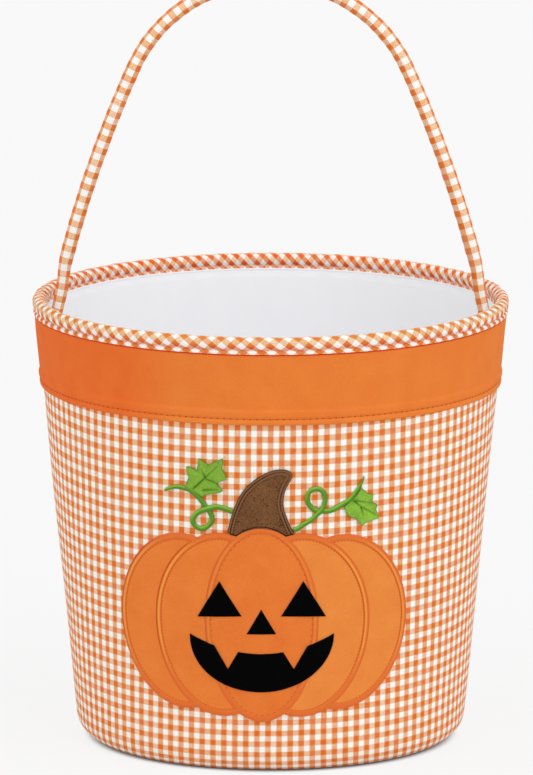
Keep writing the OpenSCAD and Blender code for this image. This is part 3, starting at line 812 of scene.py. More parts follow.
def ropePath():
    # arch from root to root in the XZ plane: straight root, leg arc, crown arc, and the mirror of these;
    # the legs are drawn in a little above the rim
    lowA, highA = math.radians(rope["rootLean"]), math.radians(rope["crownLean"])
    leanOut, leanUp = math.cos(lowA) - math.cos(highA), math.sin(highA) - math.sin(lowA)
    det = math.cos(highA) * leanUp - (1 - math.sin(highA)) * leanOut
    crownR = (rope["pivotX"] * leanUp - rope["rise"] * leanOut) / det
    legR = (rope["rise"] * math.cos(highA) - rope["pivotX"] * (1 - math.sin(highA))) / det
    crownZ = bag["rimZ"] + rope["rise"] - crownR
    legX, legZ = rope["pivotX"] - legR * math.cos(lowA), bag["rimZ"] - legR * math.sin(lowA)
    top = np.linspace(math.pi / 2, highA, 400)
    leg = np.linspace(highA, lowA, 500)[1:]
    down = np.linspace(0, rope["rootDown"], 80)[1:]
    x = np.concatenate([crownR * np.cos(top), legX + legR * np.cos(leg),
                        rope["pivotX"] + down * math.sin(lowA)])
    z = np.concatenate([crownZ + crownR * np.sin(top), legZ + legR * np.sin(leg),
                        bag["rimZ"] - down * math.cos(lowA)])
    x = x - rope["tuckIn"] * (1 - smoothStep(*rope["tuckHigh"], z)) * smoothStep(*rope["tuckLow"], z)
    x, z = np.concatenate([-x[::-1], x[1:]]), np.concatenate([z[::-1], z[1:]])
    run = runLength(x, z)
    even = np.linspace(0, run[-1], int(run[-1] / rope["step"]))
    return np.interp(even, run, x), np.interp(even, run, z), even


def makeTube(name, x, z, run, thin, sides, material):
    # round section carried along the arch, slimmer at the roots, where it is pressed flat between the layers
    tx, tz = np.gradient(x, run), np.gradient(z, run)
    size = np.hypot(tx, tz)
    upX, upZ = -tz / size, tx / size  # in the plane of the arch, towards its outer side
    around = np.linspace(0, 2 * math.pi, sides + 1)[None, :]
    drop = smoothStep(*rope["pressDown"], bag["rimZ"] - z)[:, None]
    lump = rope["lump"] * (np.sin(run * 2 * math.pi / rope["along"]) + np.sin(run * rope["slowLump"]))
    slim = rope["rootRadius"] + (rope["radius"] - rope["rootRadius"]) * smoothStep(*rope["slimZ"], z)
    radius = (slim + lump - thin)[:, None]
    deep = radius * (1 - rope["pressed"] * drop) * np.cos(around)
    wide = radius * (1 + rope["spread"] * drop) * np.sin(around)
    points = np.stack([x[:, None] + deep * upX[:, None], -wide, z[:, None] + deep * upZ[:, None]], -1)[:, :-1]
    ends = np.stack([np.stack([x[[0, -1]], 0 * x[[0, -1]], z[[0, -1]]], -1)] * sides, 1)
    points = np.concatenate([ends[:1], points, ends[1:]])
    runs = edgeDouble(run)[:, None]
    u = around / (2 * math.pi) * rope["around"] + rope["twist"] * runs / run[-1]
    v = np.broadcast_to(runs / rope["along"], u.shape)
    faces, picks = gridFaces(*points.shape[:2], False, True)
    return makePiece(name, points, faces, material, np.stack([u, v], -1).reshape(-1, 2)[picks])


def makeHandle():
    # the cover runs over the arch from root to root, down into the bag at both ends; the filler lies inside
    # it
    x, z, run = ropePath()
    piece = makeTube("handle_rope", x, z, run, 0.0, rope["sides"], "ropeCheck")
    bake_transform(piece)
    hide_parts("handle_cover", "handle_root_left", "handle_root_right")
    free = z > bag["rimZ"] + rope["fillerUp"]
    x, z, run = x[free], z[free], run[free] - run[free][0]
    filler = makeTube("handle_filler", x, z, run, rope["cover"], rope["fillerSides"], "cottonCord")
    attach(filler, "handle")
    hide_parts("handle_core")


makeHandle()
print("handle made")

# Pumpkin on the front: outlines are [x, height above its widest line], pressed onto the wall
pumpkin = {"widestZ": 83.5, "topX": (0.0, 21.0, 42.0), "lowX": (0.0, 20.1, 39.8), "outX": (28.3, 54.75, 74.0),
           "up": (48.8, 45.6, 45.1), "down": (53.7, 51.6, 49.5), "felt": 0.85, "puff": 0.45, "tuck": 1.1,
           "floor": 0.02, "puffReach": 5.0}
lobes = (("lobe_centre", 0, 1, "feltCentre"), ("lobe_mid_left", 1, -1, "feltLeft"),
         ("lobe_mid_right", 1, 1, "feltRight"), ("lobe_outer_left", 2, -1, "feltLeft"),
         ("lobe_outer_right", 2, 1, "feltRight"))


def onWall(x, h, lift):
    # a point x right of the axis and h above the widest line, lifted off the cloth
    z = pumpkin["widestZ"] + h
    r = wallR(z, -lift)
    turn = np.arcsin(np.clip(x / r, -1, 1))
    r = r + unevenness(turn, z)
    return np.stack([x, -np.sqrt(r * r - x * x), z], -1)


def lobeReach(kind, h):
    # height of a lobe above its widest line, or below it
    return np.where(h > 0, pumpkin["up"][kind], pumpkin["down"][kind])


def lobeAxis(kind, h):
    # middle of a lobe above its widest line, or below it
    return np.where(h > 0, pumpkin["topX"][kind], pumpkin["lowX"][kind])


def lobeHalf(kind, h, grow=0.0):
    # half width of a lobe at a height, zero past its ends
    reach = lobeReach(kind, h) + grow
    width = pumpkin["outX"][kind] - lobeAxis(kind, h) + grow
    return width * np.sqrt(np.clip(1 - (h / reach) ** 2, 0, 1))


def lobeInside(kind, x, h, side=1):
    # about how far a point lies inside a lobe, in mm, negative outside
    width = pumpkin["outX"][kind] - lobeAxis(kind, h)
    return (1 - np.hypot((x - side * lobeAxis(kind, h)) / width, h / lobeReach(kind, h))) * width


def feltLift(x, h):
    # height of the felt: each lobe swells a little from its edges towards its middle
    inside = [lobeInside(0, x, h)] + [lobeInside(k, np.abs(x), h) for k in (1, 2)]
    depth = np.where(inside[0] > 0, inside[0], np.minimum(inside[1], -inside[0]))
    depth = np.where((inside[0] <= 0) & (inside[1] <= 0), np.minimum(inside[2], -inside[1]), depth)
    return pumpkin["felt"] + pumpkin["puff"] * (1 - np.exp(-np.maximum(depth, 0) / pumpkin["puffReach"]))


def wallShell(name, x, h, lift, material, wrap=False, **more):
    # raised sheet on a grid, closed by the same grid lying on the cloth
    flat = np.full_like(x, pumpkin["floor"])
    points = np.concatenate([onWall(x, h, high).reshape(-1, 3) for high in (lift, flat)])
    faces, _ = gridFaces(*x.shape, False, wrap)
    faces = np.concatenate([faces, faces[:, ::-1] + x.size])
    return makePiece(name, points, faces, material, **more)


def flatPatch(name, x, h, lift, material):
    # felt sheet; the outer lines of its grid lie on the cloth and stand for the cut edge
    edge = np.ones(x.shape, bool)
    edge[1:-1, 1:-1] = False
    return wallShell(name, x, h, np.where(edge, pumpkin["floor"], lift), material)


def makeLobes():
    # rows from a lobe's inner to its outer edge, closer together towards both tips
    inset = -pumpkin["tuck"]
    part = edgeDouble((1 - np.cos(np.linspace(0, math.pi, 64))) / 2)
    across = edgeDouble(np.linspace(0, 1, 26))
    for name, kind, side, felt in lobes:
        tall = pumpkin["up"][kind] + pumpkin["down"][kind] + 2 * inset
        h = -pumpkin["down"][kind] - inset + part * tall
        half = lobeHalf(kind, h, inset)
        right = lobeAxis(kind, h) + half
        left = lobeAxis(kind, h) - half
        if kind > 0:  # what lies over this lobe hides its inner side
            over = lobeHalf(kind - 1, h, inset)
            cover = lobeAxis(kind - 1, h) + over
            left = np.minimum(np.maximum(left, np.where(over > 0, cover, left)), right)
        x = side * (left[:, None] + (right - left)[:, None] * across)
        hh = np.broadcast_to(h[:, None], x.shape).copy()
        piece = flatPatch(name + "_felt", x, hh, feltLift(x, hh), felt)
        dress(piece, "pumpkin_felt", name)


makeLobes()
print("pumpkin lobes made")

face = {"lift": 1.72, "round": 0.12, "eyeX": 21.75, "eyeZ": 1.5, "eyeW": 23.0, "eyeH": 19.0, "eyeTilt": 0.6,
        "noseZ": -7.5, "noseW": 15.2, "noseH": 13.3, "mouthX": 37.4, "mouthZ": -8.7, "mouthLow": 30.1,
        "mouthUp": 9.5, "mouthFull": (2.15, 2.03),
        "toothX": (17.5, 16.7), "toothW": 12.0, "toothL": 8.5, "rise": 0.02}


def mouthEdges(x):
    # lower edge of the mouth, a half ellipse made a little fuller, and its toothed upper edge, at each x
    upR = (face["mouthX"] ** 2 + face["mouthUp"] ** 2) / (2 * face["mouthUp"])  # arc through both corners
    full = np.where(x < 0, *face["mouthFull"])
    low = -face["mouthLow"] * (1 - np.minimum(np.abs(x) / face["mouthX"], 1) ** full) ** (1 / full)
    up = upR - face["mouthUp"] - np.sqrt(np.maximum(upR ** 2 - x * x, 0))
    middle = np.where(x < 0, *face["toothX"])
    toothTop = upR - np.sqrt(upR ** 2 - middle ** 2)
    steep = (face["toothL"] + toothTop) / (face["toothW"] / 2)
    tooth = -face["mouthUp"] - face["toothL"] + np.abs(np.abs(x) - middle) * steep
    return low + face["mouthZ"], np.maximum(np.minimum(up, tooth), low) + face["mouthZ"]


def facePatch(name, x, low, high):
    # columns from the lower to the upper edge, a little higher towards the right
    across = edgeDouble(np.linspace(0, 1, 12))
    x, low, high = edgeDouble(x), edgeDouble(low), edgeDouble(high)
    h = low[:, None] + (high - low)[:, None] * across
    xx = np.broadcast_to(x[:, None], h.shape).copy()
    h = h + face["rise"] * np.maximum(xx, 0)
    lift = np.full(h.shape, face["lift"])
    lift[:, [1, -2]] -= face["round"]
    lift[[1, -2], :] -= face["round"]
    piece = dress(flatPatch(name + "_felt", xx, h, lift, "faceFelt"), "face_felt", name)


def makeFace():
    # triangles for the eyes and the nose, and the mouth between its two edges
    half = np.linspace(-1, 1, 41)
    for name, middle, base, width, height, tilt in (
            ("eye_left", -face["eyeX"], face["eyeZ"], face["eyeW"], face["eyeH"], face["eyeTilt"]),
            ("eye_right", face["eyeX"], face["eyeZ"], face["eyeW"], face["eyeH"], -face["eyeTilt"]),
            ("nose", 0.0, face["noseZ"], face["noseW"], face["noseH"], 0.0)):
        low = base + tilt * half
        facePatch(name, middle + half * width / 2, low, low + (base + height - low) * (1 - np.abs(half)))
    x = np.linspace(-face["mouthX"], face["mouthX"], 373)
    low, high = mouthEdges(x)
    facePatch("mouth", x, low, high)


makeFace()
print("face made")


def inFace(x, h, margin):
    # True where a piece of the face, grown by the margin, covers the point
    covered = np.zeros(x.shape, bool)
    h = h - face["rise"] * np.maximum(x, 0)
    for middle in (-face["eyeX"], face["eyeX"]):
        up = (h - face["eyeZ"] + margin) / (face["eyeH"] + 2 * margin)
        covered |= (up > 0) & (np.abs(x - middle) < (1 - up) * (face["eyeW"] / 2 + margin))
    low, high = mouthEdges(np.clip(x, -face["mouthX"], face["mouthX"]))
    return covered | ((np.abs(x) < face["mouthX"]) & (h > low - margin) & (h < high + margin))


def evenPath(points, step):
    # points at even steps along a path, and their distance from its start
    length = pathLength(points)
    even = np.linspace(0, length[-1], max(int(length[-1] / step), 4) + 1)
    return sampleAt(even, length, points), even


def rightOf(points, closed=False):
    # unit vectors to the right of the run
    if closed:
        along = np.roll(points, -1, 0) - np.roll(points, 1, 0)
    else:
        along = np.gradient(points, axis=0)
    along = unit(along)
    return np.stack([along[:, 1], -along[:, 0]], -1)


def sidewaysShare(x, h):
    # how much of a width on the wall shows in x, since the wall turns away from the front
    r = wallR(pumpkin["widestZ"] + h)
    return np.sqrt(np.maximum(1 - (x / r) ** 2, 0.05))


# Painted light of a ridge, a highlight on its crest and shade at its feet: its least share, the share lost
# where it lies level and on its right side, and the slopes between which each sets in
ridge = {"step": 0.5, "least": 0.06, "level": 0.95, "rightSide": 0.75, "uprightFrom": (0.1, 0.75),
         "levelFrom": (0.1, 0.55), "rightFrom": (0.05, 0.6), "facingFrom": (-0.1, 0.75), "flat": 0.05}


def alongRun(values, share):
    # values at even shares of a run, read at each point
    return np.interp(share, np.linspace(0, 1, len(values)), values)[:, None]


def makeRidges(name, runs, section, material, capLength=1.2, lift=(0, 0), width=(1, 1), highlightFacing=None,
               light=None):
    # a stitched ridge along each run: section is (across, height) from its right foot to its left foot;
    # lift and width are values at even shares of the run, light is one value for each run; the painted light
    # is that of its upright stretches and of their left side, or with highlightFacing that of the side
    # leaning that way
    allPoints, allFaces, allUv, allPaintedLight, start = [], [], [], [], 0
    for number, run in enumerate(runs):
        path, length = evenPath(run, ridge["step"])
        right = rightOf(path)
        tilt = section[:, 0] / section[:, 0].max()
        nearest = np.minimum(length, length[-1] - length)
        cap = np.sqrt(np.clip(1 - (1 - np.clip(nearest / capLength, 0, 1)) ** 2, 0, 1))[:, None]
        share = sidewaysShare(path[:, 0], path[:, 1])[:, None]
        wide, extra = alongRun(width, length / length[-1]), alongRun(lift, length / length[-1])
        x = path[:, :1] + right[:, :1] * section[:, 0] * cap * share * wide
        h = path[:, 1:] + right[:, 1:] * section[:, 0] * cap * wide
        raised = section[:, 1] > ridge["flat"]
        points = onWall(x, h, pumpkin["floor"] + np.where(raised, section[:, 1] * cap + extra, 0.0))
        rows, cols = x.shape
        faces, picks = gridFaces(rows, cols, False, True)
        u = np.linspace(0, 1, cols)
        u = np.broadcast_to(np.concatenate([u, u[:1]]), (rows, cols + 1))
        v = np.broadcast_to(length[:, None], u.shape)
        allPoints.append(points.reshape(-1, 3))
        allFaces.append(faces + start)
        allUv.append(np.stack([u, v], -1).reshape(-1, 2)[picks])
        # painted light: where the material reads it, a high value paints a highlight on the crest and shade
        # at the feet
        if highlightFacing is not None:
            paintedLight = smoothStep(*ridge["facingFrom"], right @ np.array(highlightFacing)[:, None] * tilt)
        else:
            lit = smoothStep(*ridge["uprightFrom"], right[:, :1] ** 2)
            lit = lit * (1 - ridge["level"] * smoothStep(*ridge["levelFrom"], -right[:, 1:]))
            paintedLight = ridge["least"] + (1 - ridge["least"]) * lit
            paintedLight = paintedLight * (1 - ridge["rightSide"] * smoothStep(*ridge["rightFrom"], right[:, :1] * tilt))
        if light is not None:
            paintedLight = paintedLight * light[number]
        allPaintedLight.append(np.broadcast_to(paintedLight, (rows, cols)).ravel())
        start += rows * cols
    return makePiece(name, np.concatenate(allPoints), np.concatenate(allFaces), material,
                     np.concatenate(allUv), np.concatenate(allPaintedLight), sharp=60.0)


edging = {"section": ((2.1, 0.0), (2.08, 0.97), (1.75, 1.1), (1.3, 1.19), (0.85, 1.27), (0.4, 1.34),
                      (-0.05, 1.36), (-0.45, 1.29), (-0.8, 1.17), (-1.1, 1.05), (-1.3, 0.88), (-1.32, 0.0)),
          "seat": (0.8, 1.3, 2.2), "holesIn": 1.4, "tuckUnder": 0.9, "underFace": 3.0,
          "pitch": (3.1, 1.8, 1.8), "light": (0.35, 1.0, 0.9), "hole": (0.5, 0.2, 0.09), "holeRoom": 1.0}


def lobeOutline(kind, side, count=1400):
    # closed outline, counter-clockwise from the front
    turn = np.linspace(0, 2 * math.pi, count, endpoint=False)
    h = np.sin(turn) * np.where(np.sin(turn) > 0, pumpkin["up"][kind], pumpkin["down"][kind])
    axis = lobeAxis(kind, h)
    return np.stack([side * axis + (pumpkin["outX"][kind] - axis) * np.cos(turn), h], -1)


def splitRuns(points, keep):
    # open runs of a closed outline where keep is True
    if keep.all():
        return [np.concatenate([points, points[:1]])]
    first = int(np.argmin(keep))
    points, keep = np.roll(points, -first, 0), np.roll(keep, -first)
    edges = np.flatnonzero(np.diff(np.concatenate([[0], keep.astype(int), [0]])))
    return [points[a:b] for a, b in edges.reshape(-1, 2) if b - a > 12]


def insetPoints(points, distance):
    # a closed outline moved inwards by a distance along the wall
    share = sidewaysShare(points[:, 0], points[:, 1])
    return points - rightOf(points, True) * distance * np.stack([share, np.ones_like(share)], -1)


def seenLobe(kind, side, points, room, margin=0.2):
    # True where neither the face nor a lobe on top covers the point
    x, h = points[:, 0], points[:, 1]
    seen = ~inFace(x, h, margin)
    if kind > 0:
        seen &= lobeInside(0, x, h) < -room
    if kind > 1:
        seen &= lobeInside(1, x, h, side) < -room
    return seen


def stitchPlaces(runs, pitch, lift):
    # centres, directions and outward normals of stitches spaced along runs on the wall; lift is a height
    # above the wall, or None for the face of the felt
    centre, along, out = [], [], []
    for run in runs:
        dense, _ = evenPath(run, 0.2)
        high = feltLift(dense[:, 0], dense[:, 1]) + 0.01 if lift is None else np.full(len(dense), lift)
        place = onWall(dense[:, 0], dense[:, 1], high)
        length = pathLength(place)
        spots = np.arange(pitch / 2, length[-1], pitch)
        spot = sampleAt(spots, length, place)
        aim = unit(sampleAt(spots, length, np.gradient(place, axis=0)))
        up = unit(spot * (1, 1, 0))
        up[:, 2] = -taper
        centre.append(spot)
        along.append(aim)
        out.append(unit(up - aim * (up * aim).sum(1)[:, None]))
    return np.concatenate(centre), np.concatenate(along), np.concatenate(out)


def makeLobeEdging():
    # the ridge runs a little under the face and under the next lobe
    runs, light, places = [], [], []
    for _, kind, side, _ in lobes:
        outline = lobeOutline(kind, side)
        line = insetPoints(outline, edging["seat"][kind])
        found = splitRuns(line, seenLobe(kind, side, line, -edging["tuckUnder"], -edging["underFace"]))
        runs += found
        light += [edging["light"][kind]] * len(found)
        # needle holes inside the edging: dark beads, painted shade of the holes
        inner = insetPoints(outline, edging["seat"][kind] + edging["holesIn"])
        holes = splitRuns(inner, seenLobe(kind, side, inner, edging["holeRoom"]))
        places.append(stitchPlaces(holes, edging["pitch"][kind], None))
    piece = makeRidges("lobe_satin_edge", runs, np.array(edging["section"]), "pumpkinSatin", light=light)
    dress(piece, "pumpkin_thread", "lobe_edging")
    places = [np.concatenate(part) for part in zip(*places)]
    dress(makeBeads("lobe_needle_holes", *places, edging["hole"], "softHole"), "pumpkin_thread")


makeLobeEdging()
print("satin edges of the lobes made")

stem = {"left": ((-17.6, 46.5), (-16.6, 51.0), (-15.1, 56.6), (-13.1, 61.9), (-10.9, 66.7), (-8.3, 70.5),
                 (-4.4, 74.4), (-0.4, 77.3), (3.8, 79.5), (8.0, 80.8), (12.1, 80.9), (14.9, 80.0),
                 (16.3, 78.1)),
        "right": ((17.6, 46.8), (16.2, 48.4), (14.5, 52.2), (13.1, 56.1), (12.0, 59.3), (11.5, 62.2),
                  (11.5, 64.5), (12.1, 67.4), (13.2, 70.9), (14.6, 73.5), (16.0, 76.1), (16.3, 78.1)),
        "lift": 0.95, "crown": 0.25, "seats": (0.72, 2.25), "holesIn": 3.2, "holesUp": 1.09, "grooveIn": 1.49,
        "grooveUp": 1.0, "steps": 8, "underEdge": 0.8, "pitch": 1.6, "stitch": (0.5, 0.2, 0.12),
        "footShadowX": 16.4, "footShadowUp": 0.28,
        "footShadowSection": ((0.3, 0.0), (0.28, 1.15), (0.0, 1.3), (-0.28, 1.15), (-0.3, 0.0)),
        "section": ((0.72, 0.0), (0.69, 0.75), (0.52, 1.03), (0.29, 1.24), (0.0, 1.32), (-0.29, 1.24),
                    (-0.52, 1.06), (-0.69, 0.95), (-0.72, 0.0))}


def stemBase(x):
    # top outline of the lobes' edging, which covers the foot of the stem
    top = np.zeros_like(x)
    for _, kind, side, _ in lobes[:3]:
        over = edging["section"][0][0] - edging["seat"][kind]
        width = pumpkin["outX"][kind] - pumpkin["topX"][kind] + over
        q = np.clip(1 - ((x - side * pumpkin["topX"][kind]) / width) ** 2, 0, 1)
        top = np.maximum(top, (pumpkin["up"][kind] + over) * np.sqrt(q))
    return top


def stemLine(inset):
    # up the left side, round the tip and down the right side, moved inwards; what would fold over is left out
    left, right = (smoothRun(stem[side], stem["steps"]) for side in ("left", "right"))
    outline, _ = evenPath(np.concatenate([left, right[::-1][1:]]), 0.3)
    line = outline + rightOf(outline) * inset
    gap = np.sqrt(((line[:, None] - outline[None]) ** 2).sum(-1)).min(1)
    return line[(line[:, 1] > stemBase(line[:, 0]) - 0.2) & (gap > inset * 0.96)]


def makeStem():
    # rows from the left side to the right one; the lowest are drawn down to lie under the lobes' edging
    share = edgeDouble(np.linspace(0, 1, 62))
    sides = []
    for key in ("left", "right"):
        side, _ = evenPath(smoothRun(stem[key], stem["steps"]), 0.9)
        sides.append(sampleAt(share, np.linspace(0, 1, len(side)), side))
    s = edgeDouble(0.03 + 0.94 * np.linspace(0, 1, 22))[None, :, None]
    grid = sides[0][:, None] * (1 - s) + sides[1][:, None] * s
    base = stemBase(grid[0, :, 0]) - stem["underEdge"]
    grid[..., 1] += ((1 - share) ** 4)[:, None] * (base - grid[0, :, 1])
    x, h = grid[..., 0], grid[..., 1]
    lift = stem["lift"] + stem["crown"] * np.sin(np.pi * s[..., 0]) + np.zeros(x.shape)
    piece = dress(flatPatch("stem_felt_patch", x, h, lift, "stemFelt"), "stem_felt", "stem")


def makeStemEdging():
    # two ridges inside the outline; dark stitches in the groove between them and beside them, painted shade
    # of the groove and the needle holes; a dark ridge along the foot, a painted shadow line
    runs = [stemLine(seat) for seat in stem["seats"]]
    piece = makeRidges("stem_satin_edge", runs, np.array(stem["section"]), "stemSatin")
    dress(piece, "stem_thread", "stem_edging")
    for name, key in (("stem_inner_stitches", "holes"), ("stem_groove_stitches", "groove")):
        places = stitchPlaces([stemLine(stem[key + "In"])], stem["pitch"], stem[key + "Up"])
        dress(makeBeads(name, *places, stem["stitch"], "darkThread"), "stem_thread")
    # painted shadow: a dark thread ridge along the foot of the stem, just above the lobes' edging
    x = np.linspace(-stem["footShadowX"], stem["footShadowX"], 60)
    foot = np.stack([x, stemBase(x) + stem["footShadowUp"]], -1)
    piece = makeRidges("stem_foot_shadow_line", [foot], np.array(stem["footShadowSection"]), "darkThread", 0.6)
    dress(piece, "stem_thread")


makeStem()
makeStemEdging()
print("stem made")

vines = {"high": 1.25, "over": 0.85, "overReach": 2.6, "firstPass": 0.45, "fullness": 0.8, "cap": 1.0,
         "left": ((-14.4, 57.6), (-17.4, 59.2), (-21.1, 60.1), (-23.3, 60.3), (-26.2, 59.6), (-29.1, 58.6),
                  (-31.8, 57.3), (-34.2, 55.2), (-35.6, 52.4), (-34.5, 49.7), (-32.4, 48.4), (-30.5, 48.2),
                  (-28.1, 49.3), (-26.2, 51.4), (-25.4, 54.2), (-26.2, 56.6), (-27.3, 58.4), (-28.6, 60.0),
                  (-29.9, 61.8), (-31.8, 64.2), (-34.4, 66.7), (-37.6, 68.7), (-41.4, 69.6), (-44.6, 69.6),
                  (-47.9, 68.6), (-50.6, 66.9)),
         "right": ((16.3, 48.3), (19.5, 49.4), (21.7, 51.1), (24.2, 52.5), (27.0, 54.4), (29.2, 56.7),
                   (30.9, 58.3), (32.0, 60.0), (32.7, 62.3), (33.0, 64.7), (32.6, 67.0), (31.5, 68.8),
                   (29.8, 69.9), (28.2, 70.1), (26.2, 69.6), (24.7, 68.2), (24.0, 66.2), (23.9, 64.5),
                   (24.3, 62.7), (25.4, 60.9), (27.0, 59.2), (28.7, 58.4), (30.3, 58.0), (32.6, 58.0),
                   (35.0, 58.0), (37.8, 58.8), (40.6, 60.3), (43.1, 61.7), (45.5, 63.2), (47.7, 65.7),
                   (49.4, 68.2), (50.8, 70.4), (51.9, 72.3), (52.7, 74.6), (53.0, 75.4)),
         "leftCross": (-27.8, 59.2), "rightCross": (30.5, 58.2),
         "leftWidth": (2.8, 2.8, 2.8, 2.8, 2.8, 2.8, 2.8, 2.8, 2.7, 2.4, 1.4), "highlightFacing": (-0.4, 0.92),
         "rightWidth": (2.6, 2.6, 2.6, 2.6, 2.6, 2.6, 2.7, 2.8, 2.9, 2.3, 0.6)}


def makeVine(side):
    # half-round satin cord along the curve; its first pass lies over the second where the curl closes
    run = smoothRun(vines[side], 6)
    path, length = evenPath(run, ridge["step"])
    gap = np.hypot(*(path - vines[side + "Cross"]).T)
    lift = vines["over"] * hump(gap / vines["overReach"]) * (length < vines["firstPass"] * length[-1])
    turn = np.linspace(0, math.pi, 11)
    section = np.stack([np.cos(turn) / 2, vines["high"] * np.sin(turn) ** vines["fullness"]], -1)
    section[[0, -1], 1] = 0.0
    # the side of the cord that leans towards the given direction is painted lit; its feet carry painted shade
    piece = makeRidges("vine_" + side + "_satin", [run], section, "vineSatin", vines["cap"], lift,
                       vines[side + "Width"], vines["highlightFacing"])
    dress(piece, "vine_thread", "vine_" + side)


makeVine("left")
makeVine("right")

leaves = {"high": 1.05, "rim": 0.55, "rimAt": 0.9, "rimWide": 0.09, "groove": 0.85, "grooveWide": 0.7,
          "thread": 1.3, "fade": 0.5, "notch": 0.3, "notchFrom": (0.1, 0.6), "edgeUp": 0.6, "step": 0.55,
          "veinShade": 0.5, "veinWide": 0.65, "edgeShade": 0.5, "edgeFrom": 0.93, "notchShade": 0.22,
          "threadShade": 0.1, "pitch": 1.35, "stitch": (0.5, 0.34, 0.2), "stitchUp": 0.28,
          "light": {"left": 0.8, "right": 0.98},
          "left": {"outline": ((-39.5, 70.2), (-37.6, 75.0), (-38.9, 80.7), (-37.5, 81.3), (-33.3, 79.4),
                               (-32.2, 85.8), (-27.1, 82.8), (-19.6, 86.5), (-19.4, 85.4), (-19.9, 81.0),
                               (-17.6, 76.2), (-17.8, 75.4), (-22.9, 72.9), (-19.5, 69.3), (-21.1, 68.1),
                               (-29.1, 66.3), (-30.7, 65.1), (-33.4, 67.1), (-37.1, 68.7)),
                   "middle": (-29.5, 75.5),
                   "dotted": (((-35.5, 68.9), (-22.6, 81.9)), ((-28.9, 75.6), (-30.6, 79.6))),
                   "pressed": (((-28.9, 75.0), (-22.6, 72.8)), ((-29.8, 68.9), (-22.2, 69.6)))},
          "right": {"outline": ((51.6, 69.1), (52.7, 67.9), (54.3, 66.2), (56.0, 65.5), (57.6, 64.9),
                                (57.2, 62.7), (56.8, 61.0), (58.7, 59.9), (59.7, 58.6), (58.9, 57.0),
                                (59.5, 54.9), (60.5, 52.4), (59.8, 51.7), (57.9, 51.5), (56.0, 50.9),
                                (54.0, 50.2), (52.2, 48.8), (51.0, 49.9), (49.9, 51.5), (48.3, 53.2),
                                (46.6, 53.5), (45.0, 54.5), (43.6, 56.7), (42.9, 58.8), (42.9, 59.9),
                                (45.0, 61.8), (46.6, 63.2), (48.8, 65.3), (50.5, 67.8)),
                    "middle": (51.5, 58.5),
                    "dotted": (((46.9, 63.3), (51.2, 58.9)), ((51.2, 58.9), (52.4, 54.3))),
                    "pressed": (((51.2, 58.9), (59.0, 53.9)), ((48.6, 62.4), (55.4, 60.8)))}}


def veinDistance(x, h, veins):
    # distance to the nearest vein, growing a little along it, so that its groove fades towards its end
    nearest = np.full(x.shape, 99.0)
    for (ax, ah), (bx, bh) in veins:
        dx, dh = bx - ax, bh - ah
        t = np.clip(((x - ax) * dx + (h - ah) * dh) / (dx * dx + dh * dh), 0, 1)
        nearest = np.minimum(nearest, np.hypot(x - ax - t * dx, h - ah - t * dh) + leaves["fade"] * t)
    return nearest


def makeLeaf(side):
    # rings shrunk towards the middle of the leaf; raised rim and lobes, pressed in along the veins and
    # towards the notches between lobes; painted shade is dark there and at the edge, with threads across it
    leaf = leaves[side]
    corners = np.array(leaf["outline"])
    outline, _ = evenPath(np.concatenate([corners, corners[:1]]), leaves["step"])
    outline = outline[:-1]
    ring = np.concatenate([np.linspace(0, 0.96, 26), [0.985, 1.0, 1.0]])[:, None]
    x, h = (middle + ring * (line - middle) for middle, line in zip(leaf["middle"], outline.T))
    lift = leaves["high"] + leaves["rim"] * hump((ring - leaves["rimAt"]) / leaves["rimWide"])
    away = veinDistance(x, h, leaf["dotted"] + leaf["pressed"])
    reach = np.hypot(*(outline - leaf["middle"]).T)
    notch = (1 - smoothStep(*leaves["notchFrom"], (reach - reach.min()) / np.ptp(reach))) * ring
    lift = lift - leaves["groove"] * hump(away / leaves["grooveWide"]) - leaves["notch"] * notch
    thread = np.sin(np.arange(len(outline)) * leaves["step"] * 2 * math.pi / leaves["thread"])
    # painted shade: darker along the veins, in the notches, at the edge and between the threads
    shade = 1 - leaves["veinShade"] * hump(away / leaves["veinWide"]) - leaves["notchShade"] * notch
    shade = shade - leaves["edgeShade"] * smoothStep(leaves["edgeFrom"], 1.0, ring)
    shade = shade - leaves["threadShade"] * (1 + thread) * ring
    shade = np.clip(shade, 0, 1) * leaves["light"][side]
    lift[-2] = leaves["edgeUp"]
    lift[-1] = pumpkin["floor"]
    name = "leaf_" + side
    shade = np.tile(shade.ravel(), 2)
    piece = wallShell(name + "_embroidery", x, h, lift, "leafThread", True, pointValue=shade, sharp=50.0)
    dress(piece, "leaf_thread", name)
    runs = [np.array(ends) for ends in leaf["dotted"]]
    places = stitchPlaces(runs, leaves["pitch"], leaves["stitchUp"])
    dress(makeBeads(name + "_vein_stitches", *places, leaves["stitch"], "veinThread"), "leaf_thread")


makeLeaf("left")
makeLeaf("right")
print("vines and leaves made")

# What the cloth hides keeps its CAD shape
hidden = {"wall_stiffener": "foamSheet", "base_board": "greyBoard", "rim_cord": "cottonCord"}
for node, material in hidden.items():
    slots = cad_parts[node].data.materials
    slots.clear()
    slots.append(finish[material])

# Suns are (turn from the front, height, strength, spread), angles in degrees; the floor that the camera sees
# is toned apart from the one that lights the bag, and glows, with a painted contact shadow near the bag
studio = {"floorSize": 60.0, "floor": 0.90, "seenFloor": 0.10, "floorGlow": 0.84, "seenSky": 0.93,
          "sky": 0.685, "paintedContactShadow": (62, 36, 30), "paintedShadowReach": 0.035, "paintedShadowFull": 0.36,
          "key": (45.0, 46.0, 1.045, 50.0), "fill": (-58.0, 44.0, 0.57, 60.0)}


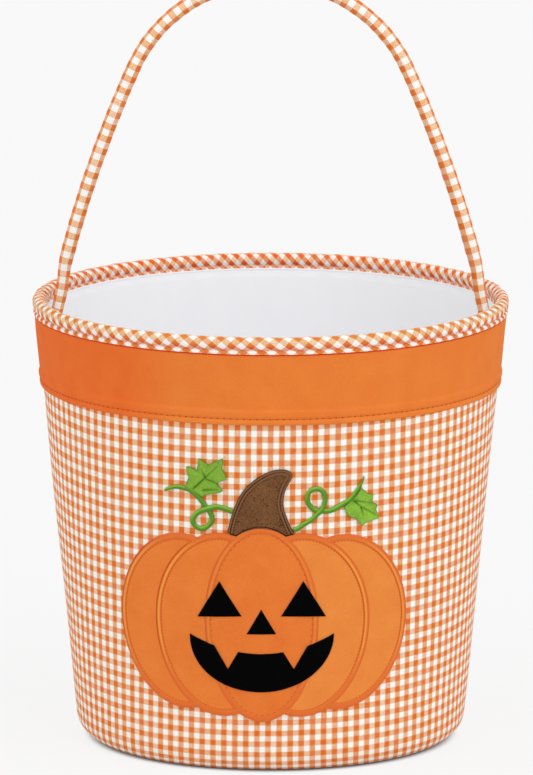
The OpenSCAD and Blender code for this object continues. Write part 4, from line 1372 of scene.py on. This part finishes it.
def sunLamp(name, turn, height, strength, spread):
    lamp = bpy.data.objects.new(name, bpy.data.lights.new(name, "SUN"))
    scene.collection.objects.link(lamp)
    lamp.data.energy = strength
    lamp.data.angle = math.radians(spread)
    towards = wayOut(turn, height)
    lamp.location = towards * 3
    lamp.rotation_euler = (-towards).to_track_quat("-Z", "Y").to_euler()


def seenRays(tree):
    # 1 for what the camera sees, directly, in gloss or through glass
    path = addNode(tree, "ShaderNodeLightPath").outputs
    seen = calc(tree, "MAXIMUM", path["Is Camera Ray"], path["Is Glossy Ray"])
    return calc(tree, "MAXIMUM", seen, path["Is Transmission Ray"])


def makeStudio():
    half = studio["floorSize"] / 2
    corner = np.array([[-half, -half, 0], [half, -half, 0], [half, half, 0], [-half, half, 0]])
    mesh = bpy.data.meshes.new("floor")
    mesh.from_pydata(corner.tolist(), [], [(0, 1, 2, 3)])
    floor = bpy.data.objects.new("floor", mesh)
    scene.collection.objects.link(floor)
    material, tree, shader = newMaterial("paleFloor", 0.95, 0.0)
    seen = seenRays(tree)
    tones = [(level, level, level, 1.0) for level in (studio["floor"], studio["seenFloor"])]
    tree.links.new(blendColour(tree, seen, *tones), shader.inputs["Base Color"])
    # painted contact shadow: the glow the camera sees turns warm brown where ambient occlusion finds the bag
    # close
    near = addNode(tree, "ShaderNodeAmbientOcclusion", {"Distance": studio["paintedShadowReach"]}, samples=16)
    near = rampUp(tree, near.outputs["AO"], 0.0, studio["paintedShadowFull"])
    paintedLight = blendColour(tree, near, tint(*studio["paintedContactShadow"]), (1.0, 1.0, 1.0, 1.0))
    tree.links.new(paintedLight, shader.inputs["Emission Color"])
    tree.links.new(times(tree, seen, studio["floorGlow"]), shader.inputs["Emission Strength"])
    mesh.materials.append(material)
    world = bpy.data.worlds.new("studio")
    scene.world = world
    world.use_nodes = True
    tree = world.node_tree
    level = calc(tree, "MULTIPLY_ADD", seenRays(tree), studio["seenSky"] - studio["sky"], studio["sky"])
    back = tree.nodes["Background"]
    back.inputs["Color"].default_value = (1.0, 1.0, 1.0, 1.0)
    tree.links.new(level, back.inputs["Strength"])
    sunLamp("key", *studio["key"])
    sunLamp("fill", *studio["fill"])
    scene.view_settings.view_transform = "Standard"


makeStudio()
print("studio made")
